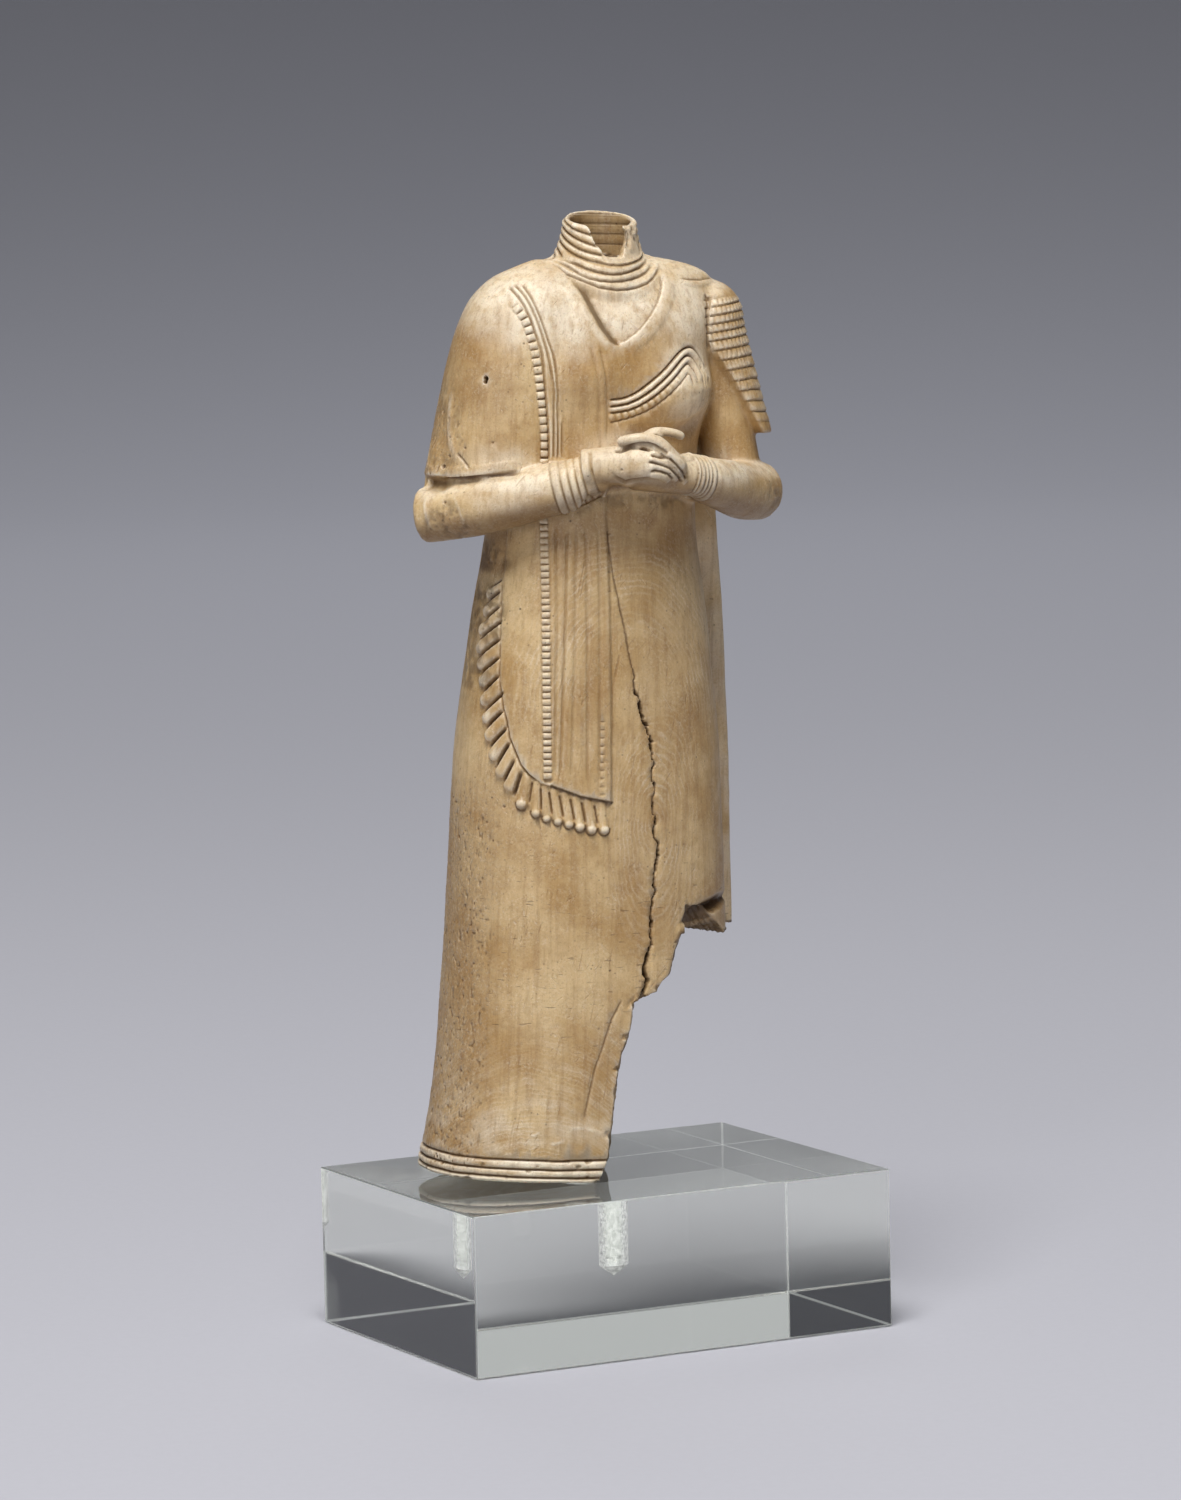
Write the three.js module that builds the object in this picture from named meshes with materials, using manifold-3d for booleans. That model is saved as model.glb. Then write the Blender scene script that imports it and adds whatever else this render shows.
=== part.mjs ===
// A standing female figurine of carved ivory, headless and broken below at its left, held up by a
// clear acrylic rod that is set in a drilled clear acrylic block.
// Millimetres, +Z up. The origin is the middle of the block's underside, +X runs along the block's
// long side and the figurine's front is turned towards -Y. The figurine has a frame of its own, whose
// origin is where the rod's axis meets the plane of the hem, with +X to the figurine's left.

import * as THREE from "three";
import { mergeVertices } from "three/addons/utils/BufferGeometryUtils.js";
import Module from "manifold-3d";

const wasm = await Module();
wasm.setup();

// Driving dimensions

const degree = Math.PI / 180;
const touchGap = 0.3; // left between two pieces that touch

const block = { length: 52.7, depth: 38.9, height: 18, edge: 0.25 };
const hole = { x: -2.4, y: 1.2, radius: 1.8, coneBottom: 6.9, coneTop: 8.15 };
const rod = { radius: hole.radius - touchGap, chamfer: 0.5, inFigurine: 12 };
const stance = { lift: 0.6, turn: -10 * degree, lean: 2.6 * degree };

// The robe's rounded-oval sections: how far it reaches from the axis to each side, by height.
const robeSections = [
  { z: 0.0, right: 18.5, left: 18.5, front: 13.4, back: 12.6, square: 2.3 }, // hem
  { z: 10.0, right: 17.0, left: 17.0, front: 12.8, back: 12.0, square: 2.3 },
  { z: 26.0, right: 16.0, left: 16.2, front: 12.3, back: 11.6, square: 2.3 },
  { z: 46.0, right: 15.0, left: 15.1, front: 11.8, back: 11.0, square: 2.25 },
  { z: 60.0, right: 13.5, left: 13.5, front: 11.3, back: 10.2, square: 2.2 },
  { z: 76.0, right: 11.8, left: 11.6, front: 10.1, back: 9.2, square: 2.1 }, // waist
  { z: 90.0, right: 12.8, left: 12.2, front: 9.4, back: 9.0, square: 2.3 }, // chest
  { z: 95.0, right: 13.2, left: 13.0, front: 8.4, back: 8.7, square: 2.3 },
  { z: 99.0, right: 11.6, left: 13.4, front: 6.3, back: 7.3, square: 2.1 }, // shoulders
  { z: 101.2, right: 8.0, left: 10.8, front: 4.8, back: 5.6, square: 2.0 },
  { z: 102.2, right: 5.2, left: 7.4, front: 3.9, back: 4.2, square: 2.0 }, // root of the neck
];
// The shawl over the right shoulder and upper arm, as sections about an axis of its own.
const cape = { x: -6, y: -0.4, edge: 78.4, rise: 0.11 };
const capeSections = [
  { z: 78.0, right: 13.4, left: 8, front: 9.0, back: 8.6, square: 2.3 },
  { z: 84.0, right: 12.2, left: 8, front: 8.7, back: 8.6, square: 2.3 },
  { z: 90.0, right: 11.1, left: 8, front: 8.3, back: 8.4, square: 2.3 },
  { z: 94.0, right: 10.1, left: 8, front: 7.5, back: 7.9, square: 2.2 },
  { z: 97.5, right: 8.7, left: 8, front: 6.5, back: 7.0, square: 2.1 },
  { z: 100.2, right: 6.0, left: 7, front: 4.8, back: 5.4, square: 2.0 },
  { z: 101.8, right: 2.2, left: 5, front: 2.6, back: 3.2, square: 2.0 },
];
// The mantle that hangs behind the left arm: a slab that reaches out beyond the robe.
const mantle = { front: 2.0, back: 9.5, bottom: 20, top: 98 };
const mantleSections = [
  { z: 0, reach: 19.2 },
  { z: 27, reach: 18.5 },
  { z: 46, reach: 17.7 },
  { z: 64, reach: 16.5 },
  { z: 75, reach: 15.4 },
  { z: 98, reach: 13.2 },
];
const breasts = [
  { x: -7.0, z: 88.6, spread: 4.2, height: 0.9 },
  { x: 6.8, z: 88.0, spread: 4.0, height: 1.5 },
];

const hem = { ridges: 3, height: 2.7, depth: 0.45 };
const neck = {
  radius: 4.25,
  rimHeight: 107,
  rootHeight: 101.0,
  rootFront: 7.0,
  rootSide: 6.5,
  rootBack: 4.9,
  tiltTop: 13 * degree,
  tiltRoot: 20 * degree,
  rings: 6,
  ringDepth: 0.3,
};
const socket = { radius: 3.4, floor: 102.6 };

const border = { width: 0.95, pitch: 0.96, tooth: 0.5, height: 0.35 };
const shawl = { thickness: 0.45, bottom: 42.5 };
const fringe = { tassels: 8, length: 3.3, width: 0.95, bead: 0.62 };
const sideFringe = { tassels: 11, top: 66.5, pitch: 1.95, width: 1.25, drop: 3.2 };

// Number helpers

const clamp = (value, low, high) => Math.min(high, Math.max(low, value));
const mix = (from, to, share) => from + (to - from) * share;

// One measure of a list of sections at a height, on a monotone cubic through the sections.
function measure(sections, name, z) {
  const last = sections.length - 1;
  const slope = (i) => (sections[i + 1][name] - sections[i][name]) / (sections[i + 1].z - sections[i].z);
  const tangent = (i) => {
    if (i === 0) return slope(0);
    if (i === last) return slope(last - 1);
    const before = slope(i - 1);
    const after = slope(i);
    return before * after > 0 ? (2 * before * after) / (before + after) : 0;
  };
  const height = clamp(z, sections[0].z, sections[last].z);
  let i = 0;
  while (i < last - 1 && height > sections[i + 1].z) i += 1;
  const span = sections[i + 1].z - sections[i].z;
  const t = (height - sections[i].z) / span;
  return (
    (2 * t ** 3 - 3 * t ** 2 + 1) * sections[i][name] +
    (t ** 3 - 2 * t ** 2 + t) * span * tangent(i) +
    (-2 * t ** 3 + 3 * t ** 2) * sections[i + 1][name] +
    (t ** 3 - t ** 2) * span * tangent(i + 1)
  );
}

// The value at a height on straight lines through a few [height, value] pairs.
function along(pairs, z) {
  const last = pairs.length - 1;
  if (z <= pairs[0][0]) return pairs[0][1];
  if (z >= pairs[last][0]) return pairs[last][1];
  let i = 0;
  while (z > pairs[i + 1][0]) i += 1;
  return mix(pairs[i][1], pairs[i + 1][1], (z - pairs[i][0]) / (pairs[i + 1][0] - pairs[i][0]));
}

// Solids

function solid(geometry) {
  const shape = geometry.clone();
  shape.deleteAttribute("normal");
  shape.deleteAttribute("uv");
  const merged = mergeVertices(shape, 1e-4);
  const triVerts = [];
  for (let i = 0; i < merged.index.count; i += 3) {
    const [a, b, c] = [0, 1, 2].map((k) => merged.index.getX(i + k));
    if (a !== b && b !== c && c !== a) triVerts.push(a, b, c);
  }
  const made = new wasm.Manifold(
    new wasm.Mesh({
      numProp: 3,
      vertProperties: merged.attributes.position.array,
      triVerts: new Uint32Array(triVerts),
    }),
  );
  return made;
}

function geometryOf(shape) {
  const mesh = shape.getMesh();
  const points = new Float32Array(mesh.numVert * 3);
  for (let i = 0; i < mesh.numVert; i += 1) {
    for (let k = 0; k < 3; k += 1) points[3 * i + k] = mesh.vertProperties[mesh.numProp * i + k];
  }
  const geometry = new THREE.BufferGeometry();
  geometry.setAttribute("position", new THREE.BufferAttribute(points, 3));
  geometry.setIndex(new THREE.BufferAttribute(new Uint32Array(mesh.triVerts), 1));
  const faceted = geometry.toNonIndexed();
  faceted.computeVertexNormals();
  return faceted;
}

// A closed skin: rings of points from the first ring to the last, with a fan over each end.
function skin(rings) {
  const columns = rings[0].length;
  const middle = (ring) =>
    ring.reduce((sum, point) => sum.add(point), new THREE.Vector3()).divideScalar(columns);
  const points = [...rings.flat(), middle(rings[0]), middle(rings[rings.length - 1])];
  const index = [];
  for (let row = 0; row < rings.length - 1; row += 1) {
    for (let column = 0; column < columns; column += 1) {
      const next = (column + 1) % columns;
      const [a, b] = [row * columns + column, row * columns + next];
      const [c, d] = [a + columns, b + columns];
      index.push(a, b, d, a, d, c);
    }
  }
  const bottom = rings.length * columns;
  const lastRow = (rings.length - 1) * columns;
  for (let column = 0; column < columns; column += 1) {
    const next = (column + 1) % columns;
    index.push(bottom, next, column, bottom + 1, lastRow + column, lastRow + next);
  }
  return facingOut(new THREE.BufferGeometry().setFromPoints(points).setIndex(index));
}

// The same closed geometry, turned inside out where its faces point inwards.
function facingOut(geometry) {
  const position = geometry.attributes.position;
  const index = geometry.index;
  const [a, b, c] = [new THREE.Vector3(), new THREE.Vector3(), new THREE.Vector3()];
  let volume = 0;
  for (let i = 0; i < index.count; i += 3) {
    a.fromBufferAttribute(position, index.getX(i));
    b.fromBufferAttribute(position, index.getX(i + 1));
    c.fromBufferAttribute(position, index.getX(i + 2));
    volume += a.dot(b.cross(c));
  }
  if (volume > 0) return geometry;
  for (let i = 0; i < index.count; i += 3) {
    const kept = index.getX(i);
    index.setX(i, index.getX(i + 1));
    index.setX(i + 1, kept);
  }
  return geometry;
}

// A limb along a few points, with a half-width, a half-height and a share of its length per station.
function limb(stations, { columns = 9, rows = 12, ringed = null } = {}) {
  const curve = new THREE.CatmullRomCurve3(
    stations.map((station) => new THREE.Vector3(...station.at)),
    false,
    "centripetal",
  );
  const shares = Array.from({ length: rows + 1 }, (_, i) => i / rows);
  const rings = [];
  const ringAt = (share, scale, extra) => {
    const place = share * (stations.length - 1);
    const i = Math.min(Math.floor(place), stations.length - 2);
    const wide = mix(stations[i].wide, stations[i + 1].wide, place - i) * scale + extra;
    const tall = mix(stations[i].tall, stations[i + 1].tall, place - i) * scale + extra;
    const middle = curve.getPoint(share);
    const tangent = curve.getTangent(share);
    const upright = Math.abs(tangent.z) > 0.8 ? new THREE.Vector3(0, -1, 0) : new THREE.Vector3(0, 0, 1);
    const side = new THREE.Vector3().crossVectors(tangent, upright).normalize();
    const up = new THREE.Vector3().crossVectors(side, tangent).normalize();
    return Array.from({ length: columns }, (_, j) => {
      const angle = (2 * Math.PI * j) / columns;
      return middle
        .clone()
        .addScaledVector(side, wide * Math.cos(angle))
        .addScaledVector(up, tall * Math.sin(angle));
    });
  };
  const list = ringed ? shares.filter((s) => s < ringed.from || s > ringed.to) : shares;
  const half = ringed ? (ringed.to - ringed.from) / (2 * ringed.count) : 1;
  if (ringed) {
    for (let k = 0; k <= 2 * ringed.count; k += 1) list.push(ringed.from + k * half);
    list.sort((a, b) => a - b);
  }
  for (const share of list) {
    const inRings = ringed && share >= ringed.from && share <= ringed.to;
    const step = inRings ? Math.round((share - ringed.from) / half) : 0;
    const extra = inRings && step % 2 === 1 ? ringed.depth : 0;
    const start = stations[0].blunt ? clamp(0.8 + share * 6, 0, 1) : 1;
    rings.push(ringAt(share, start, extra));
  }
  return solid(skin(rings));
}

// A round-ended finger or fold along a few points.
function finger(points, radius, columns = 6) {
  const curve = new THREE.CatmullRomCurve3(points.map((point) => new THREE.Vector3(...point)));
  const rows = 4;
  const rings = [];
  for (let i = 0; i <= rows; i += 1) {
    const share = clamp(i / rows, 0.001, 0.999);
    const rounding = Math.sqrt(Math.max(0.12, 1 - Math.abs(2 * share - 1) ** 6));
    const middle = curve.getPoint(share);
    const tangent = curve.getTangent(share);
    const side = new THREE.Vector3(0.05, 0.1, 1).cross(tangent).normalize();
    const up = new THREE.Vector3().crossVectors(tangent, side).normalize();
    rings.push(
      Array.from({ length: columns }, (_, j) => {
        const angle = (2 * Math.PI * j) / columns;
        return middle
          .clone()
          .addScaledVector(side, radius * rounding * Math.cos(angle))
          .addScaledVector(up, radius * rounding * Math.sin(angle));
      }),
    );
  }
  return solid(skin(rings));
}

// The robe's surface, by the angle from the front about the axis and by the height

function reachOf(sections, angle, z) {
  const side = Math.sin(angle);
  const ahead = Math.cos(angle);
  const wide = measure(sections, side > 0 ? "left" : "right", z);
  const deep = measure(sections, ahead > 0 ? "front" : "back", z);
  const square = measure(sections, "square", z);
  return (Math.abs(side / wide) ** square + Math.abs(ahead / deep) ** square) ** (-1 / square);
}

function breastRise(angle, z) {
  const reach = reachOf(robeSections, angle, z);
  if (Math.cos(angle) < 0) return 0;
  return breasts.reduce((rise, breast) => {
    const away = Math.hypot(reach * Math.sin(angle) - breast.x, z - breast.z) / breast.spread;
    return rise + breast.height * Math.exp(-away * away * 1.4);
  }, 0);
}

function robePoint(angle, z, lift = 0) {
  const reach = reachOf(robeSections, angle, z) + breastRise(angle, z) + lift;
  return new THREE.Vector3(reach * Math.sin(angle), -reach * Math.cos(angle), z);
}

function capePoint(angle, z, lift = 0) {
  const reach = reachOf(capeSections, angle, z) + lift;
  return new THREE.Vector3(cape.x + reach * Math.sin(angle), cape.y - reach * Math.cos(angle), z);
}

// The angle at which the robe's front has a given x.
function angleAt(x, z) {
  let low = -88 * degree;
  let high = 88 * degree;
  for (let i = 0; i < 24; i += 1) {
    const angle = (low + high) / 2;
    if (robePoint(angle, z).x < x) low = angle;
    else high = angle;
  }
  return (low + high) / 2;
}

// The place on the front of the dress at a given x, on the cape where that stands further out.
function frontPoint(x, z, lift = 0) {
  const onRobe = robePoint(angleAt(x, z), z, lift);
  if (z < cape.edge) return onRobe;
  const wide = measure(capeSections, x < cape.x ? "right" : "left", z);
  const share = clamp(Math.abs(x - cape.x) / wide, 0, 0.999);
  const square = measure(capeSections, "square", z);
  const y = cape.y - measure(capeSections, "front", z) * (1 - share ** square) ** (1 / square) - lift;
  return y < onRobe.y ? new THREE.Vector3(x, y, z) : onRobe;
}

// A block laid on a surface, from one place to another, with its length along the line between them.
function barOn(from, to, outward, { width, height, taper = 1, overlap = 0 }) {
  const length = from.distanceTo(to) + overlap;
  const shape = new THREE.Shape();
  shape.moveTo(-width / 2, -length / 2);
  shape.lineTo(width / 2, -length / 2);
  shape.lineTo((width * taper) / 2, length / 2);
  shape.lineTo((-width * taper) / 2, length / 2);
  shape.closePath();
  const deep = 1.2;
  const geometry = new THREE.ExtrudeGeometry(shape, { depth: height + deep, bevelEnabled: false });
  geometry.translate(0, 0, -deep);
  const lengthwise = to.clone().sub(from).normalize();
  const out = outward.clone().addScaledVector(lengthwise, -outward.dot(lengthwise)).normalize();
  const across = new THREE.Vector3().crossVectors(lengthwise, out);
  const middle = from.clone().add(to).multiplyScalar(0.5);
  geometry.applyMatrix4(new THREE.Matrix4().makeBasis(across, lengthwise, out).setPosition(middle));
  return solid(geometry);
}

const outwardAt = (point, x = 0) => new THREE.Vector3(point.x - x, point.y, 0).normalize();

// Robe, mantle and cape

function makeRobe() {
  const columns = 34;
  const heights = [];
  for (let i = 0; i <= 2 * hem.ridges; i += 1) heights.push((hem.height * i) / (2 * hem.ridges));
  for (let z = 6; z < 74; z += 8.5) heights.push(z);
  for (let z = 77; z < 97; z += 3.9) heights.push(z);
  heights.push(98.6, 100.2, 101.3, 102.2);
  const rings = heights.map((z, row) => {
    const inHem = z <= hem.height;
    const lift = inHem && row % 2 === 1 ? 0 : inHem ? -hem.depth : 0;
    return Array.from({ length: columns }, (_, j) => robePoint(((j + 0.5) / columns) * 2 * Math.PI, z, lift));
  });
  return solid(skin(rings));
}

function makeMantle() {
  const rings = [];
  for (let z = mantle.bottom; z <= mantle.top; z += 6) {
    const reach = measure(mantleSections, "reach", z);
    const depth = Math.min(mantle.back, measure(robeSections, "back", z) - 0.6);
    const corner = 1.1;
    rings.push(
      [
        [0, mantle.front - 1],
        [reach - 3, mantle.front],
        [reach - corner, mantle.front + 0.2],
        [reach, mantle.front + corner],
        [reach - 0.2, mantle.front + 2.6],
        [reach - 2.0, depth * 0.72],
        [reach - 5.5, depth * 0.95],
        [0, depth],
      ].map(([x, y]) => new THREE.Vector3(x, y, z)),
    );
  }
  return solid(skin(rings));
}

function makeCape() {
  const columns = 20;
  const heights = [78, 82.5, 87.5, 92, 95.5, 98.5, 100.6, 101.7];
  const rings = heights.map((z, row) =>
    Array.from({ length: columns }, (_, j) => {
      const point = capePoint(((j + 0.5) / columns) * 2 * Math.PI, z);
      if (row === 0) point.z = cape.edge + Math.max(0, point.x + 19) * cape.rise;
      return point;
    }),
  );
  return solid(skin(rings));
}

// Left sleeve, with its level ridges and its slanting lower edge

const leftArm = {
  shoulder: [12.8, 0.2, 96.0],
  middle: [14.0, 0, 90],
  elbow: [16.8, -1.0, 77.4],
};

function makeSleeve() {
  const columns = 14;
  const ridge = { pitch: 1.12, depth: 0.28 };
  const rings = [];
  const top = 100.5;
  const capBottom = 96.8;
  for (const share of [0, 0.25, 0.55, 0.8]) {
    const z = mix(top, capBottom, share);
    const scale = Math.sqrt(clamp(1 - (1 - share) ** 2, 0.06, 1));
    rings.push({ z, scale, lift: 0 });
  }
  for (let z = capBottom, k = 0; z > 82.6; z -= ridge.pitch / 2, k += 1) {
    rings.push({ z, scale: 1, lift: k % 2 ? ridge.depth : 0 });
  }
  const made = rings.map(({ z, scale, lift }) => {
    const share = clamp((leftArm.shoulder[2] - z) / (leftArm.shoulder[2] - leftArm.elbow[2]), 0, 1);
    const x = mix(12.7, 17.4, share);
    const y = mix(0.2, -0.6, share);
    const wide = (4.2 + lift) * scale;
    const deep = (4.9 + lift) * scale;
    return Array.from({ length: columns }, (_, j) => {
      const angle = (2 * Math.PI * j) / columns;
      return new THREE.Vector3(x + wide * Math.cos(angle), y + deep * Math.sin(angle), z);
    });
  });
  const whole = solid(skin(made));
  // What lies in front of and below the slanting edge is open, and the arm shows in it.
  const opening = new THREE.BoxGeometry(40, 40, 20);
  opening.translate(0, 0, -10);
  const slope = new THREE.Vector3(-1.45, -0.75, -1).normalize();
  opening.applyQuaternion(new THREE.Quaternion().setFromUnitVectors(new THREE.Vector3(0, 0, -1), slope));
  opening.translate(12.1, -4, 92.7);
  return whole.subtract(solid(opening));
}

// Arms, bracelets and clasped hands

function makeArms() {
  const leftUpper = limb(
    [
      { at: leftArm.shoulder, wide: 3.4, tall: 3.7 },
      { at: leftArm.middle, wide: 3.5, tall: 3.9 },
      { at: leftArm.elbow, wide: 3.0, tall: 3.2 },
    ],
    { rows: 6 },
  );
  const leftLower = limb(
    [
      { at: [20.4, -0.6, 76.7], wide: 3.0, tall: 3.3, blunt: true },
      { at: [16.0, -4.8, 77.0], wide: 3.1, tall: 3.3 },
      { at: [11.4, -9.4, 78.0], wide: 2.7, tall: 2.8 },
      { at: [6.4, -12.6, 79.0], wide: 2.4, tall: 2.5 },
    ],
    { rows: 6, ringed: { from: 0.6, to: 0.82, count: 4, depth: 0.28 } },
  );
  const rightUpper = limb(
    [
      { at: [-14.4, 0.2, 85], wide: 2.6, tall: 3.2 },
      { at: [-16.2, -0.4, 80], wide: 2.6, tall: 3.0 },
      { at: [-17.6, -1.4, 74.6], wide: 2.3, tall: 2.7 },
    ],
    { rows: 4 },
  );
  const rightLower = limb(
    [
      { at: [-20.3, -1.4, 73.9], wide: 2.7, tall: 2.9, blunt: true },
      { at: [-15.6, -5.4, 74.9], wide: 2.9, tall: 3.2 },
      { at: [-9.4, -9.4, 76.8], wide: 2.8, tall: 3.0 },
      { at: [-2.4, -12.6, 78.9], wide: 2.5, tall: 2.7 },
    ],
    { rows: 6, ringed: { from: 0.62, to: 0.86, count: 5, depth: 0.28 } },
  );
  return [leftUpper, leftLower, rightUpper, rightLower];
}

function makeHands() {
  const parts = [];
  // The ivory left standing between the forearms and the waist.
  const web = limb(
    [
      { at: [-12.5, -5.6, 75.6], wide: 3.2, tall: 2.2 },
      { at: [-4.0, -9.4, 77.8], wide: 3.6, tall: 2.4 },
      { at: [4.0, -9.8, 79.2], wide: 3.8, tall: 2.6 },
      { at: [11.5, -6.4, 77.6], wide: 3.2, tall: 2.2 },
    ],
    { columns: 8, rows: 5 },
  );
  parts.push(web);
  const palm = limb(
    [
      { at: [-3.6, -12.4, 78.8], wide: 2.5, tall: 2.8 },
      { at: [0.4, -14.0, 79.8], wide: 2.8, tall: 3.4 },
      { at: [4.2, -14.0, 79.6], wide: 2.4, tall: 2.9 },
      { at: [7.4, -12.4, 78.9], wide: 1.9, tall: 2.3 },
    ],
    { rows: 6 },
  );
  parts.push(palm);
  const fingers = 4;
  for (let k = 0; k < fingers; k += 1) {
    const share = k / (fingers - 1);
    parts.push(
      finger(
        [
          [mix(2.2, -0.2, share), mix(-16.1, -16.3, share), mix(82.0, 78.2, share)],
          [mix(4.6, 2.4, share), -16.4, mix(81.5, 77.7, share)],
          [mix(6.6, 5.2, share), -15.4, mix(79.4, 76.8, share)],
        ],
        0.62,
      ),
    );
  }
  parts.push(
    finger(
      [
        [-2.8, -14.0, 82.0],
        [0.3, -14.7, 83.2],
        [2.9, -14.9, 83.2],
        [5.3, -14.5, 82.3],
      ],
      0.78,
    ),
  );
  return parts;
}

// Neck with its necklace rings, the open socket and the notch broken out of its front

function makeNeck() {
  const columns = 20;
  const rows = 2 * neck.rings + 3;
  const rings = [];
  for (let row = 0; row <= rows; row += 1) {
    const share = row / rows; // from the root up
    const flare = (1 - share) ** 1.9;
    const ringed = share > 0.08 && share < 0.93 && row % 2 === 0;
    const lift = ringed ? neck.ringDepth : 0;
    const tilt = mix(neck.tiltRoot, neck.tiltTop, share);
    const height = mix(neck.rootHeight, neck.rimHeight - 0.1, share);
    const lead = mix(-0.6, 0, share);
    rings.push(
      Array.from({ length: columns }, (_, j) => {
        const angle = (2 * Math.PI * j) / columns;
        const rootDepth = Math.sin(angle) < 0 ? neck.rootFront : neck.rootBack;
        const x = (mix(neck.radius, neck.rootSide, flare) + lift) * Math.cos(angle);
        const y = (mix(neck.radius, rootDepth, flare) + lift) * Math.sin(angle) + lead;
        return new THREE.Vector3(x, y, height + y * Math.tan(tilt));
      }),
    );
  }
  return solid(skin(rings));
}

function makeSocket() {
  const profile = [
    [0, socket.floor],
    [socket.radius, socket.floor],
    [socket.radius, neck.rimHeight + 4],
    [0, neck.rimHeight + 4],
  ].map(([x, y]) => new THREE.Vector2(x, y));
  return solid(new THREE.LatheGeometry(profile, 20).rotateX(Math.PI / 2));
}

function makeNotch() {
  const outline = new THREE.Shape();
  outline.moveTo(-3.4, neck.rimHeight + 4);
  outline.lineTo(-3.2, 106.4);
  outline.lineTo(-1.8, 104.6);
  outline.lineTo(-1.0, 103.1);
  outline.lineTo(0.2, 102.7);
  outline.lineTo(1.3, 103.1);
  outline.lineTo(1.8, 105.0);
  outline.lineTo(1.6, neck.rimHeight + 4);
  const geometry = new THREE.ExtrudeGeometry(outline, { depth: 8, bevelEnabled: false });
  return solid(geometry.rotateX(Math.PI / 2));
}

// The shawl's edges, in the robe's own x by height

const borderX = [
  [0, -7.97],
  [54, -8.0],
  [74, -7.8],
  [82, -8.35],
  [89, -8.8],
  [92.5, -9.35],
  [95.3, -10.27],
  [97.5, -10.9],
  [99, -11.4],
];
const frontEdgeX = [
  [39, -0.85],
  [54, -1.13],
  [69.5, -1.5],
  [74, -1.8],
  [90, -1.8],
];
const sideEdgeX = [
  [42.5, -7.6],
  [44.7, -8.8],
  [46.5, -10.7],
  [49.2, -11.65],
  [52.5, -12.06],
  [60.2, -12.1],
  [66.3, -11.65],
  [78, -10.6],
];

function makeShawl() {
  const columns = 10;
  const rings = [];
  const sheet = (z, lift) =>
    Array.from({ length: columns + 1 }, (_, j) => {
      const x = mix(along(sideEdgeX, z), along(frontEdgeX, z), j / columns);
      const lower = (x - along(sideEdgeX, shawl.bottom)) * -0.26;
      const height = Math.max(z, z < 46 ? 44.2 + lower : z);
      return frontPoint(x, height, lift);
    });
  for (const z of [42.5, 44.7, 46.5, 49.2, 52.5, 57, 62, 66.3, 72, 78]) {
    rings.push([...sheet(z, shawl.thickness), ...sheet(z, -1.5).reverse()]);
  }
  return solid(skin(rings));
}

function makeBorder() {
  const teeth = [];
  for (let z = 45.2; z < 97.6; z += border.pitch) {
    const behindArm = z > 74 && z < 79.6;
    if (behindArm) continue;
    const x = along(borderX, z);
    const lift = z < 78 ? shawl.thickness : 0;
    const slant = z > 90 ? (z - 90) * 0.1 : 0;
    const left = frontPoint(x - border.width / 2, z - slant * 0.5, lift);
    const right = frontPoint(x + border.width / 2, z + slant * 0.5, lift);
    teeth.push(barOn(left, right, outwardAt(left, x * 0.35), { width: border.tooth, height: border.height }));
  }
  return teeth;
}

function makeFringe() {
  const parts = [];
  for (let k = 0; k < fringe.tassels; k += 1) {
    const share = k / (fringe.tassels - 1);
    const x = mix(-1.45, -9.4, share);
    const top = 42.4 + (-x - 0.9) * 0.26;
    const from = frontPoint(x, top + 0.5, 0.1);
    const to = frontPoint(x - 0.35 * share, top - fringe.length, 0.1);
    const out = outwardAt(from);
    parts.push(barOn(from, to, out, { width: fringe.width * 0.7, height: 0.45, taper: 1.25 }));
    const bead = new THREE.SphereGeometry(fringe.bead, 6, 4);
    bead.translate(to.x + out.x * 0.25, to.y + out.y * 0.25, to.z);
    parts.push(solid(bead));
  }
  return parts;
}

function makeSideFringe() {
  const parts = [];
  for (let k = 0; k < sideFringe.tassels; k += 1) {
    const high = sideFringe.top - k * sideFringe.pitch;
    const turn = clamp((k - 7) / 4, 0, 1); // the lowest tassels hang steeper, round the corner
    const inner = along(sideEdgeX, high);
    const from = frontPoint(inner + 0.2, high, -0.05);
    const to = robePoint(mix(-86, -66, turn) * degree, high - mix(sideFringe.drop, 4.2, turn), -0.3);
    parts.push(barOn(from, to, outwardAt(to), { width: sideFringe.width, height: 0.4, taper: 1.15 }));
  }
  return parts;
}

// The three raised cords and the beaded row that frame the left breast

function makeBreastBorder() {
  const parts = [];
  const cords = 3;
  for (let k = 0; k < cords; k += 1) {
    const drop = k * 1.1;
    const route = [
      [-1.4, 86.8 - drop],
      [2.0, 87.4 - drop],
      [5.0, 89.8 - drop],
      [8.2, 93.0 - drop * 1.3],
      [9.6, 91.8 - drop * 1.2],
      [10.6, 89.6 - drop],
    ].map(([x, z]) => frontPoint(x - (x > 8 ? k * 0.35 : 0), z, 0.1));
    for (let i = 0; i < route.length - 1; i += 1) {
      const shape = { width: 0.5, height: 0.3, overlap: 0.25 };
      parts.push(barOn(route[i], route[i + 1], outwardAt(route[i]), shape));
    }
  }
  return parts;
}

// The straight cut of the neckline

function makeNeckline() {
  const from = frontPoint(-5.4, 100.0, -0.5);
  const to = frontPoint(0.0, 93.3, 0.3);
  return barOn(from, to, outwardAt(new THREE.Vector3(-1, -3, 0)), { width: 0.7, height: 3, taper: 0.9 });
}

// The missing left part of the skirt below the break, as a shape drawn on the front

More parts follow.
